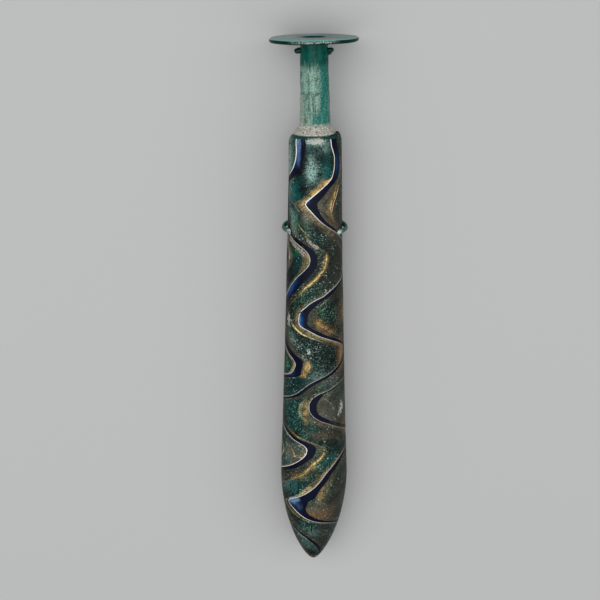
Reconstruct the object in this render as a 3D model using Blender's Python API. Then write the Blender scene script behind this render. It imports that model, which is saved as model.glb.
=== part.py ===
"""Glass perfume flask of the slender, pointed kind: a tapering vessel with two small lugs, and a
separately made neck with a broad disc rim that sits in its mouth. The flask can't stand, so it lies
on its back: its axis runs along +Y with the rim at +Y, the front faces up, and the floor is z = 0.

Every piece is first made upright in the flask's own frame, with the tip at the origin and the axis
along +Z, its front towards -Y. The empty called flask then lays them all down. Sizes are in metres.
"""

import math

import bmesh
import bpy
from mathutils import Vector

# Vessel, from its tip upwards
VESSEL_LENGTH = 0.1650
NOSE_LENGTH = 0.0360
TIP_RADIUS = 0.0009
BELLY_RADIUS = 0.01252
NOSE_POWER = 0.78
TAPER_POWER = 1.35
WALL = 0.0022
NOSE_THICKNESS = 0.0055
BODY_LEAN = math.radians(0.12)

# Mouth of the vessel: a flat lip that carries the neck's collar, and a throat for its spigot
MOUTH_RADIUS = 0.0067
LIP_RADIUS = 0.0080
LIP_EDGE = 0.0002
SHOULDER_RADIUS = 0.00965
SHOULDER_ROUND = 0.0033
THROAT_FLARE = 0.0015
LIP_RISE = 0.0013
LIP_RISE_ANGLE = math.radians(90)
LIP_RISE_SPREAD = math.radians(32)

# Neck and rim, one piece of glass that leans to the left, with its collar drawn out that way
SEAT_GAP = 0.0003
SPIGOT_LENGTH = 0.0035
COLLAR_RADIUS = 0.00765
COLLAR_EDGE = 0.0004
COLLAR_HEIGHT = 0.0031
COLLAR_ASIDE = 0.0003
NECK_LENGTH = 0.0294
NECK_FOOT_RADIUS = 0.00555
NECK_TOP_RADIUS = 0.00498
BORE_RADIUS = 0.00355
RIM_RADIUS = 0.0161
RIM_THICKNESS = 0.0017
RIM_FILLET = 0.0009
FUNNEL_RADIUS = 0.0042
FUNNEL_DEPTH = 0.0045
NECK_LEAN = math.radians(1.0)

# Small knobs of glass on the neck, measured down from the rim's underside and out from the neck
KNOB_DROP = 0.0031
KNOB_REACH = 0.00215
KNOB_HALF_HEIGHT = 0.0011
KNOB_HALF_WIDTH = 0.0012
SECOND_KNOB_DROP = 0.0040
SECOND_KNOB_REACH = 0.0014
SECOND_KNOB_HALF_HEIGHT = 0.0008

# Lugs on the vessel: trails of glass drawn out into a low loop on each side
LUG_HEIGHT = 0.1310
LUG_RISE = 0.0024
LUG_REACH = 0.0023
LUG_ROD_RADIUS = 0.00085
LUG_SPAN = math.radians(46)
LUG_RIGHT_FRONT = math.radians(58)
LUG_LEFT_FRONT = math.radians(64)
LUG_EMBED = 0.0009

# Flat spots that keep the lying flask from rolling
FLAT_DEPTH = 0.00015

# Fineness of the faceting
BODY_SEGMENTS = 48
NECK_SEGMENTS = 40
NOSE_STEPS = 12
SIDE_STEPS = 9
ROUND_STEPS = 4
LUG_STEPS = 12

SHOULDER_START = VESSEL_LENGTH - SHOULDER_ROUND
THROAT_END = VESSEL_LENGTH - SPIGOT_LENGTH - SEAT_GAP
CAVITY_TOP = THROAT_END - THROAT_FLARE
SPIGOT_RADIUS = MOUTH_RADIUS - SEAT_GAP
NECK_START = COLLAR_EDGE + COLLAR_HEIGHT
RIM_UNDERSIDE = NECK_START + NECK_LENGTH
RIM_TOP = RIM_UNDERSIDE + RIM_THICKNESS
SEAT_HEIGHT = VESSEL_LENGTH + SEAT_GAP + COLLAR_RADIUS * math.sin(NECK_LEAN)


def clear_scene():
    for old in list(bpy.data.objects):
        bpy.data.objects.remove(old, do_unlink=True)


def glass(name, colour, roughness, transmission):
    """A Principled BSDF glass of one colour."""
    material = bpy.data.materials.new(name)
    material.use_nodes = True
    shader = material.node_tree.nodes["Principled BSDF"]
    shader.inputs["Base Color"].default_value = (*colour, 1.0)
    shader.inputs["Roughness"].default_value = roughness
    shader.inputs["Metallic"].default_value = 0.0
    shader.inputs["Transmission Weight"].default_value = transmission
    shader.inputs["IOR"].default_value = 1.51
    return material


def side_radius(height):
    """Outer radius of the vessel between the belly and the shoulder: a slightly convex taper."""
    share = (height - NOSE_LENGTH) / (SHOULDER_START - NOSE_LENGTH)
    share = min(max(share, 0.0), 1.0)
    return BELLY_RADIUS - (BELLY_RADIUS - SHOULDER_RADIUS) * (1 - (1 - share) ** TAPER_POWER)


def nose_curve(start, end, tip_radius, end_radius, steps):
    """Points (radius, height) of a pointed nose that swells from its tip to the belly."""
    points = []
    for step in range(steps + 1):
        share = (step / steps) ** 1.6
        swell = (1 - (1 - share) ** 2) ** NOSE_POWER
        points.append((tip_radius + (end_radius - tip_radius) * swell, start + (end - start) * share))
    return points


def quarter_round(centre, radius_out, radius_up, steps):
    """Points of a quarter ellipse from its outer side to its top."""
    points = []
    for step in range(1, steps + 1):
        angle = math.pi / 2 * step / steps
        points.append((centre[0] + radius_out * math.cos(angle), centre[1] + radius_up * math.sin(angle)))
    return points


def vessel_outline():
    """Half section of the vessel as (radius, height), from the tip up the outside and down the inside."""
    outline = [(0.0, 0.0)]
    outline += nose_curve(0.0, NOSE_LENGTH, TIP_RADIUS, BELLY_RADIUS, NOSE_STEPS)
    for step in range(1, SIDE_STEPS + 1):
        height = NOSE_LENGTH + (SHOULDER_START - NOSE_LENGTH) * step / SIDE_STEPS
        outline.append((side_radius(height), height))
    outline += quarter_round(
        (LIP_RADIUS, SHOULDER_START), SHOULDER_RADIUS - LIP_RADIUS, SHOULDER_ROUND, ROUND_STEPS
    )
    outline.append((LIP_RADIUS - LIP_EDGE, VESSEL_LENGTH))
    outline.append((MOUTH_RADIUS, VESSEL_LENGTH))
    outline.append((MOUTH_RADIUS, THROAT_END))
    for step in range(SIDE_STEPS):
        height = CAVITY_TOP - (CAVITY_TOP - NOSE_LENGTH) * step / SIDE_STEPS
        outline.append((side_radius(height) - WALL, height))
    inner_nose = nose_curve(NOSE_THICKNESS, NOSE_LENGTH, 0.0, BELLY_RADIUS - WALL, NOSE_STEPS - 4)
    outline += reversed(inner_nose)
    return outline


def neck_outline():
    """Half section of the neck and rim as a closed loop of (radius, height) above the collar's foot."""
    fillet_start = RIM_UNDERSIDE - RIM_FILLET
    edge = RIM_THICKNESS / 2
    outline = [(SPIGOT_RADIUS, -SPIGOT_LENGTH), (SPIGOT_RADIUS, 0.0)]
    outline += [(COLLAR_RADIUS, 0.0), (COLLAR_RADIUS, COLLAR_EDGE)]
    outline.append((NECK_FOOT_RADIUS, NECK_START))
    for step in range(1, 4):
        share = step / 3
        radius = NECK_FOOT_RADIUS + (NECK_TOP_RADIUS - NECK_FOOT_RADIUS) * share
        outline.append((radius, NECK_START + (fillet_start - NECK_START) * share))
    outline.append((NECK_TOP_RADIUS + 0.3 * RIM_FILLET, RIM_UNDERSIDE - 0.3 * RIM_FILLET))
    outline.append((NECK_TOP_RADIUS + RIM_FILLET, RIM_UNDERSIDE))
    for step in range(7):
        angle = -math.pi / 2 + math.pi * step / 6
        outline.append(
            (RIM_RADIUS - edge + edge * math.cos(angle), RIM_UNDERSIDE + edge + edge * math.sin(angle))
        )
    outline.append((FUNNEL_RADIUS, RIM_TOP))
    outline.append((0.5 * (FUNNEL_RADIUS + BORE_RADIUS) - 0.0001, RIM_TOP - 0.3 * FUNNEL_DEPTH))
    outline.append((BORE_RADIUS, RIM_TOP - FUNNEL_DEPTH))
    outline.append((BORE_RADIUS, -SPIGOT_LENGTH))
    return outline


def turned(name, outline, segments, closed):
    """Spins a half section round the Z axis into one closed mesh object."""
    work = bmesh.new()
    points = [work.verts.new((0.0, -radius, height)) for radius, height in outline]
    edges = [work.edges.new(pair) for pair in zip(points, points[1:])]
    if closed:
        edges.append(work.edges.new((points[-1], points[0])))
    bmesh.ops.spin(
        work,
        geom=points + edges,
        cent=(0, 0, 0),
        axis=(0, 0, 1),
        angle=2 * math.pi,
        steps=segments,
        use_merge=True,
    )
    bmesh.ops.remove_doubles(work, verts=work.verts, dist=1e-6)
    bmesh.ops.recalc_face_normals(work, faces=work.faces)
    return finished(name, work)


def finished(name, work):
    """Writes a bmesh to a new smooth-shaded object."""
    mesh = bpy.data.meshes.new(name)
    work.to_mesh(mesh)
    work.free()
    mesh.shade_smooth()
    mesh.set_sharp_from_angle(angle=math.radians(40))
    made = bpy.data.objects.new(name, mesh)
    bpy.context.scene.collection.objects.link(made)
    return made


def raise_lip(vessel):
    """Lets the shoulder stand a little higher on its right side, beside the collar."""
    for vertex in vessel.data.vertices:
        across, towards, height = vertex.co
        radius = math.hypot(across, towards)
        if height < SHOULDER_START or radius < LIP_RADIUS - LIP_EDGE / 2:
            continue
        turn = (math.atan2(across, -towards) - LIP_RISE_ANGLE) / LIP_RISE_SPREAD
        up = (height - SHOULDER_START) / SHOULDER_ROUND
        vertex.co.z += LIP_RISE * up * math.exp(-turn * turn)


def draw_out_collar(neck):
    """Shifts the collar to the left of the neck's axis, as the hot glass was pressed down."""
    for vertex in neck.data.vertices:
        across, towards, height = vertex.co
        if height < NECK_START / 2 and math.hypot(across, towards) > COLLAR_RADIUS - 1e-6:
            vertex.co.x -= COLLAR_ASIDE


def around(angle, radius, height):
    """A point at an angle from the front, turning to the right, in the flask's upright frame."""
    return Vector((radius * math.sin(angle), -radius * math.cos(angle), height))


def lug(name, side, front_angle):
    """A bent rod of glass that leaves the wall at the front, loops out and comes back behind."""
    curve = bpy.data.curves.new(name, "CURVE")
    curve.dimensions = "3D"
    curve.bevel_depth = LUG_ROD_RADIUS
    curve.bevel_resolution = 2
    curve.use_fill_caps = True
    spline = curve.splines.new("POLY")
    spline.points.add(LUG_STEPS)
    for step in range(LUG_STEPS + 1):
        share = step / LUG_STEPS
        height = LUG_HEIGHT + LUG_RISE * (share - 0.5)
        bow = math.sin(math.pi * share) ** 0.8
        reach = (LUG_REACH - LUG_ROD_RADIUS + LUG_EMBED) * bow - LUG_EMBED
        place = around(side * (front_angle + LUG_SPAN * share), side_radius(height) + reach, height)
        spline.points[step].co = (*place, 1.0)
    rod = bpy.data.objects.new(name + "_curve", curve)
    bpy.context.scene.collection.objects.link(rod)
    work = bmesh.new()
    work.from_mesh(bpy.data.meshes.new_from_object(rod))
    bpy.data.objects.remove(rod, do_unlink=True)
    bmesh.ops.remove_doubles(work, verts=work.verts, dist=1e-6)
    bmesh.ops.recalc_face_normals(work, faces=work.faces)
    return finished(name, work)


def knob(name, side, drop, reach, half_height):
    """A rounded stub of glass on the side of the neck, under the rim."""
    inner = NECK_TOP_RADIUS - 0.25 * (NECK_TOP_RADIUS - BORE_RADIUS) - KNOB_HALF_WIDTH
    outer = NECK_TOP_RADIUS + reach
    work = bmesh.new()
    bmesh.ops.create_icosphere(work, subdivisions=2, radius=1.0)
    for vertex in work.verts:
        along, towards, up = vertex.co
        stretch = 0.5 * (outer - inner)
        vertex.co = Vector((
            side * (inner + stretch) + stretch * along,
            KNOB_HALF_WIDTH * towards,
            RIM_UNDERSIDE - drop + half_height * up,
        ))
    return finished(name, work)


def combine(target, other, operation):
    """Joins a helper object to the target, or cuts it away, and keeps the helper out of the model."""
    other.hide_render = True
    other.display_type = "WIRE"
    modifier = target.modifiers.new(operation.lower() + "_" + other.name, "BOOLEAN")
    modifier.operation = operation
    modifier.solver = "EXACT"
    modifier.object = other


def vessel_with_lugs(flask):
    vessel = turned("vessel", vessel_outline(), BODY_SEGMENTS, closed=False)
    raise_lip(vessel)
    vessel.data.materials.append(glass("banded glass", (0.03, 0.12, 0.09), 0.25, 0.35))
    vessel.rotation_euler = (0, BODY_LEAN, 0)
    vessel.parent = flask
    for name, side, front in (("lug_right", 1, LUG_RIGHT_FRONT), ("lug_left", -1, LUG_LEFT_FRONT)):
        loop = lug(name, side, front)
        loop.parent = vessel
        combine(vessel, loop, "UNION")
    return vessel


def neck_with_rim(flask, vessel):
    neck = turned("neck_and_rim", neck_outline(), NECK_SEGMENTS, closed=True)
    draw_out_collar(neck)
    neck.data.materials.append(glass("plain blue-green glass", (0.02, 0.20, 0.15), 0.15, 0.6))
    neck.parent = flask
    seat = Vector((0, 0, SEAT_HEIGHT))
    seat.rotate(vessel.rotation_euler)
    neck.location = seat
    neck.rotation_euler = (0, -NECK_LEAN, 0)
    stubs = [
        knob("knob_left", -1, KNOB_DROP, KNOB_REACH, KNOB_HALF_HEIGHT),
        knob("knob_right", 1, KNOB_DROP, KNOB_REACH, KNOB_HALF_HEIGHT),
        knob("second_knob_right", 1, SECOND_KNOB_DROP, SECOND_KNOB_REACH, SECOND_KNOB_HALF_HEIGHT),
    ]
    for stub in stubs:
        stub.parent = neck
        combine(neck, stub, "UNION")
    return neck


def world_corners(objects):
    """Lowest and highest corner of the objects as they stand in the scene."""
    bpy.context.view_layer.update()
    places = [made.matrix_world @ vertex.co for made in objects for vertex in made.data.vertices]
    low = Vector([min(place[axis] for place in places) for axis in range(3)])
    high = Vector([max(place[axis] for place in places) for axis in range(3)])
    return low, high


def lie_down(flask, pieces):
    """Lays the flask on its back, resting on the rim and the belly, over the origin."""
    rim_height = SEAT_HEIGHT + RIM_UNDERSIDE + RIM_THICKNESS / 2
    slopes = [
        (RIM_RADIUS - radius) / (rim_height - height)
        for radius, height in vessel_outline()
        if height < SHOULDER_START
    ]
    tilt = math.atan(min(slopes))
    flask.rotation_euler = (tilt - math.pi / 2, 0, 0)
    low, high = world_corners(pieces)
    flask.location -= Vector(((low.x + high.x) / 2, (low.y + high.y) / 2, low.z + FLAT_DEPTH))
    return high - low


def flat_spots(pieces, extent):
    """Cuts off what would reach below the floor, which leaves a small flat on the rim and the belly."""
    work = bmesh.new()
    bmesh.ops.create_cube(work, size=1.0)
    floor = finished("floor_cutter", work)
    floor.dimensions = (2 * extent.x, 2 * extent.y, extent.z)
    floor.location.z = -extent.z / 2
    for piece in pieces:
        combine(piece, floor, "DIFFERENCE")


def main():
    clear_scene()
    flask = bpy.data.objects.new("flask", None)
    bpy.context.scene.collection.objects.link(flask)
    vessel = vessel_with_lugs(flask)
    neck = neck_with_rim(flask, vessel)
    extent = lie_down(flask, [vessel, neck])
    flat_spots([vessel, neck], extent)


main()
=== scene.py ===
import math

import bpy
import numpy as np
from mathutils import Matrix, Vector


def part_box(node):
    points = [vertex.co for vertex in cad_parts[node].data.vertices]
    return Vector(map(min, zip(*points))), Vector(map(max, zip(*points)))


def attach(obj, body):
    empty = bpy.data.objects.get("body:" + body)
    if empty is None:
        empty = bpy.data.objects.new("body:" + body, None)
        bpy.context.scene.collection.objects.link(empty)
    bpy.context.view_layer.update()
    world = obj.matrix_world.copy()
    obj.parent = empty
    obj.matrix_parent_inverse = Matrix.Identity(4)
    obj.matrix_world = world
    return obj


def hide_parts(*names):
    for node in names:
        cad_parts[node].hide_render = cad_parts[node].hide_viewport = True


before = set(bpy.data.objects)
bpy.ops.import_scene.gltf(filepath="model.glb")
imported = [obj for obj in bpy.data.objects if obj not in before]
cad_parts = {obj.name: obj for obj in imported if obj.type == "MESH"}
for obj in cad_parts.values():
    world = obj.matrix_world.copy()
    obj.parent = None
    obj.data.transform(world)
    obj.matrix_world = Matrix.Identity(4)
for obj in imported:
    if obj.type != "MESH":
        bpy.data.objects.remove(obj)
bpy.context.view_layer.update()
print("frame loaded")

mm = 0.001
refraction = 1.51  # of soda glass

# How the flask lies: on its belly and its rim, its axis along +Y, its front up
vesselLow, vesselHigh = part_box("vessel")
rest = {
    "tilt": math.radians(1.2568),  # rise of the axis towards the rim
    "vesselLean": math.radians(0.12),  # the vessel's own lean, to the right
    "neckLean": math.radians(1.0),  # the neck's lean, to the left
    "bellyHeight": 36.0,  # from the tip, in mm
    "bellyRadius": 12.52,
    "tipRadius": 0.9,
}
lean = math.sin(rest["vesselLean"])
bellyAxis = vesselHigh.z / mm - rest["bellyRadius"]
tipPlace = np.array([
    (vesselLow.x + vesselHigh.x) / 2 / mm - lean * rest["bellyHeight"],
    vesselLow.y / mm + rest["tipRadius"] * math.sin(rest["tilt"]),
    bellyAxis - rest["bellyHeight"] * math.sin(rest["tilt"]),
])


def turnDown(points):
    # Upright millimetres (x right, y away from the viewer, z up the flask) to the lying flask's:
    # a turn about X by the tilt less a right angle, then a shift that puts the tip in its place
    turn = rest["tilt"] - math.pi / 2
    x, y, z = points[..., 0], points[..., 1], points[..., 2]
    turned = np.stack([
        x,
        y * math.cos(turn) - z * math.sin(turn),
        y * math.sin(turn) + z * math.cos(turn),
    ], -1)
    return turned + tipPlace


def layDown(points):
    # The lying flask in world metres, cut off flat at the floor on the spots that it rests on
    laid = turnDown(points)
    laid[..., 2] = np.maximum(laid[..., 2], 0.0)
    return laid * mm


def leanBy(points, angle, foot):
    # Turns upright points about the Y axis through the foot, towards +X for a positive angle
    x = points[..., 0]
    z = points[..., 2] - foot
    turned = points.copy()
    turned[..., 0] = x * math.cos(angle) + z * math.sin(angle)
    turned[..., 2] = z * math.cos(angle) - x * math.sin(angle) + foot
    return turned


def smoothStep(low, high, value):
    # 0 below low, 1 above high, and 3t^2 - 2t^3 between them
    t = np.clip((value - low) / (high - low), 0, 1)
    return t * t * (3 - 2 * t)


def smoothThrough(points, at):
    # A smooth line through given (place, value) points: cubic Hermite pieces whose slope is the
    # harmonic mean of the slopes on both sides, and flat at a turning point
    places, values = np.array(sorted(points), float).T
    steps = np.diff(places)
    slopes = np.diff(values) / steps
    inner = np.zeros(len(slopes) - 1)
    same = slopes[:-1] * slopes[1:] > 0
    inner[same] = 2 * slopes[:-1][same] * slopes[1:][same] / (slopes[:-1][same] + slopes[1:][same])
    tangents = np.concatenate([[slopes[0]], inner, [slopes[-1]]])
    at = np.clip(at, places[0], places[-1])
    k = np.clip(np.searchsorted(places, at) - 1, 0, len(slopes) - 1)
    t = (at - places[k]) / steps[k]
    return (
        values[k] * (1 + 2 * t) * (1 - t) ** 2
        + tangents[k] * steps[k] * t * (1 - t) ** 2
        + values[k + 1] * t * t * (3 - 2 * t)
        + tangents[k + 1] * steps[k] * t * t * (t - 1)
    )


def gridPiece(name, points, poles=True, closedRows=False):
    # A surface over a grid of rows by columns; the columns close into rings. With poles, the first
    # and last row are each one point
    rows, columns = points.shape[:2]
    column = np.arange(columns)
    after = (column + 1) % columns
    ringRows = np.arange(rows if closedRows else rows - 1)
    if poles:
        ringRows = ringRows[1:-1]
    low = ringRows[:, None] * columns
    high = ((ringRows[:, None] + 1) % rows) * columns
    quads = np.stack([low + column, low + after, high + after, high + column], -1).reshape(-1, 4)
    corners = quads.ravel()
    starts = np.arange(len(quads)) * 4
    flat = points.reshape(-1, 3)
    keep = np.ones(rows * columns, bool)
    if poles:
        first = np.stack([np.zeros(columns, int), columns + after, columns + column], -1)
        lastRow = (rows - 2) * columns
        last = np.stack([np.full(columns, (rows - 1) * columns), lastRow + column, lastRow + after], -1)
        fans = np.concatenate([first, last])
        starts = np.concatenate([starts, len(corners) + np.arange(len(fans)) * 3])
        corners = np.concatenate([corners, fans.ravel()])
        keep[1:columns] = False
        keep[(rows - 1) * columns + 1:] = False
    renumber = np.cumsum(keep) - 1
    source = np.nonzero(keep)[0]
    mesh = bpy.data.meshes.new(name)
    mesh.vertices.add(len(source))
    mesh.vertices.foreach_set("co", flat[source].astype(np.float32).ravel())
    mesh.loops.add(len(corners))
    mesh.loops.foreach_set("vertex_index", renumber[corners].astype(np.int32))
    mesh.polygons.add(len(starts))
    mesh.polygons.foreach_set("loop_start", starts.astype(np.int32))
    mesh.update(calc_edges=True)
    mesh.validate()
    mesh.shade_smooth()
    piece = bpy.data.objects.new(name, mesh)
    bpy.context.scene.collection.objects.link(piece)
    return piece, corners, starts


def setCorners(piece, name, values):
    # A vector attribute on the corners of the faces
    made = piece.data.attributes.new(name, "FLOAT_VECTOR", "CORNER")
    made.data.foreach_set("vector", values.astype(np.float32).ravel())


def linear(code):
    # An sRGB hex colour as linear red, green, blue and 1
    parts = [int(code[k:k + 2], 16) / 255 for k in (1, 3, 5)]
    return [c / 12.92 if c <= 0.04045 else ((c + 0.055) / 1.055) ** 2.4 for c in parts] + [1.0]


def newMaterial(name):
    material = bpy.data.materials.new(name)
    material.use_nodes = True
    tree = material.node_tree
    return material, tree, tree.nodes["Principled BSDF"]


def addNode(tree, kind, settings=None, links=None):
    # One node, with its settings, and with values or other nodes' sockets on its inputs
    node = tree.nodes.new(kind)
    for key, value in (settings or {}).items():
        setattr(node, key, value)
    for key, value in (links or {}).items():
        if isinstance(value, bpy.types.NodeSocket):
            tree.links.new(value, node.inputs[key])
        else:
            node.inputs[key].default_value = value
    return node


def addSteps(tree, value, steps):
    # A chain of sums: each step is a name, an operation and its terms, which are numbers or the
    # names of earlier steps. RANGE is a smooth step from its second term to its third, which gives
    # its fourth to its fifth. MULTIPLY takes two terms or more, and NOISE is a noise over its terms
    for name, operation, *terms in steps:
        terms = [value.get(term, term) for term in terms]
        if operation == "RANGE":
            keys = ("Value", "From Min", "From Max", "To Min", "To Max")
            made = addNode(
                tree, "ShaderNodeMapRange", {"interpolation_type": "SMOOTHSTEP"}, dict(zip(keys, terms)),
            )
        elif operation == "NOISE":
            flow = addNode(tree, "ShaderNodeCombineXYZ", None, dict(enumerate(terms))).outputs[0]
            made = addNode(tree, "ShaderNodeTexNoise", None, {"Vector": flow, "Scale": 1.0, "Detail": 4.0})
        elif operation == "MULTIPLY":
            product = terms[0]
            for term in terms[1:]:
                made = addNode(tree, "ShaderNodeMath", {"operation": operation}, {0: product, 1: term})
                product = made.outputs[0]
        else:
            made = addNode(tree, "ShaderNodeMath", {"operation": operation}, dict(enumerate(terms)))
        value[name] = made.outputs[0]


def addLayers(tree, value, look, ground, layers):
    # Colours laid on each other from the ground up. A layer is a colour and how much it covers, or
    # two colours, the share of the second and how much they cover
    body = linear(ground)
    for colour, *others in layers:
        top = linear(look[colour])
        if len(others) == 3:
            links = {0: value[others[1]], 6: top, 7: linear(look[others[0]])}
            top = addNode(tree, "ShaderNodeMix", {"data_type": "RGBA"}, links).outputs[2]
        links = {0: value[others[-1]], 6: body, 7: top}
        body = addNode(tree, "ShaderNodeMix", {"data_type": "RGBA"}, links).outputs[2]
    return body


def finishGlass(tree, shader, value, look, body, height):
    # The colour, the roughness and the finest relief over the glass's own plain values
    tree.links.new(body, shader.inputs["Base Color"])
    tree.links.new(value["rough"], shader.inputs["Roughness"])
    shader.inputs["IOR"].default_value = refraction
    shader.inputs["Specular IOR Level"].default_value = look["shine"]
    shader.inputs["Transmission Weight"].default_value = look["seeThrough"]
    links = {"Height": value[height], "Strength": look["bump"], "Distance": look["bumpDepth"] * mm}
    bump = addNode(tree, "ShaderNodeBump", None, links)
    tree.links.new(bump.outputs["Normal"], shader.inputs["Normal"])


# The vessel: a turned form with bands of glass that run up it in waves

vessel = {
    "length": 165.0,  # mm
    "noseLength": 36.0,
    "tipRadius": rest["tipRadius"],
    "bellyRadius": rest["bellyRadius"],
    "nosePower": 0.78,
    "taperPower": 1.35,
    "wall": 2.2,
    "noseThickness": 5.5,
    "mouthRadius": 6.7,
    "lipRadius": 8.0,
    "shoulderRadius": 9.65,
    "shoulderRound": 3.3,
    "throat": 3.8,
    "throatFlare": 1.5,
    "lipRise": 1.3,
    "lipRiseAngle": 90.0,
    "lipRiseSpread": 32.0,
    "lipInner": 7.3,
    "lipGreenFrom": (164.2, 164.4),  # the lip is green from these heights up
    "lipGreenMiddle": -6.0,  # degrees
    "lipGreenSides": (74.0, 52.0),  # degrees to each side of that
    "columns": 200,
    "sideRows": 386,
    "shoulderRows": 13,
    "cavityRows": 40,
    "innerNoseRows": 15,
    "wobble": 0.06,  # mm, unevenness left by the maker's tools
    "grooveDepth": 0.12,
    "grooveWidth": 0.35,
    "joinStep": 0.14,  # where two fragments meet on the right
    "joinAngle": 92.0,
    "joinSpread": 28.0,
    "joinTop": (52.0, 50.0),
    "joinFoot": (20.0, 44.0),
    "threadWidth": 0.72,  # against the half widths below
    "duskTop": (133.0, 125.0),  # the glass is least green between these heights
    "duskFoot": (68.0, 78.0),
    "duskGreen": 0.25,
}
shoulderStart = vessel["length"] - vessel["shoulderRound"]


def sideRadius(height):
    # Slightly convex taper from the belly to the shoulder
    share = np.clip((height - vessel["noseLength"]) / (shoulderStart - vessel["noseLength"]), 0, 1)
    narrowing = vessel["bellyRadius"] - vessel["shoulderRadius"]
    return vessel["bellyRadius"] - narrowing * (1 - (1 - share) ** vessel["taperPower"])


def noseRadius(height, start, startRadius, endRadius):
    # Pointed nose: the start radius plus (1 - (1 - t)^2)^power of the rest
    share = np.clip((height - start) / (vessel["noseLength"] - start), 0, 1)
    return startRadius + (endRadius - startRadius) * (1 - (1 - share) ** 2) ** vessel["nosePower"]


def vesselOutline():
    # Half section from the tip up the outside, over the lip and down the inside: radius and height
    height = np.linspace(0, shoulderStart, vessel["sideRows"])
    outer = np.where(
        height < vessel["noseLength"],
        noseRadius(height, 0, vessel["tipRadius"], vessel["bellyRadius"]),
        sideRadius(height),
    )
    quarter = np.linspace(0, math.pi / 2, vessel["shoulderRows"] + 1)[1:]
    bend = vessel["shoulderRadius"] - vessel["lipRadius"]
    shoulder = vessel["lipRadius"] + bend * np.cos(quarter)
    shoulderHeight = shoulderStart + vessel["shoulderRound"] * np.sin(quarter)
    throatEnd = vessel["length"] - vessel["throat"]
    mouthRadius = vessel["mouthRadius"]
    mouth = np.array([vessel["lipRadius"] - 0.2, vessel["lipInner"], mouthRadius, mouthRadius])
    mouthHeight = np.array([vessel["length"], vessel["length"], vessel["length"] - 0.05, throatEnd])
    cavity = np.linspace(throatEnd - vessel["throatFlare"], vessel["noseLength"], vessel["cavityRows"])
    closer = np.linspace(1, 0, vessel["innerNoseRows"] + 1)[1:] ** 1.6  # rows crowd towards the point
    innerNose = vessel["noseThickness"] + (vessel["noseLength"] - vessel["noseThickness"]) * closer
    inside = vessel["bellyRadius"] - vessel["wall"]
    radius = np.concatenate([
        [0], outer, shoulder, mouth, sideRadius(cavity) - vessel["wall"],
        noseRadius(innerNose, vessel["noseThickness"], 0, inside),
    ])
    heights = np.concatenate([[0], height, shoulderHeight, mouthHeight, cavity, innerNose])
    return radius, heights


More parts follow.
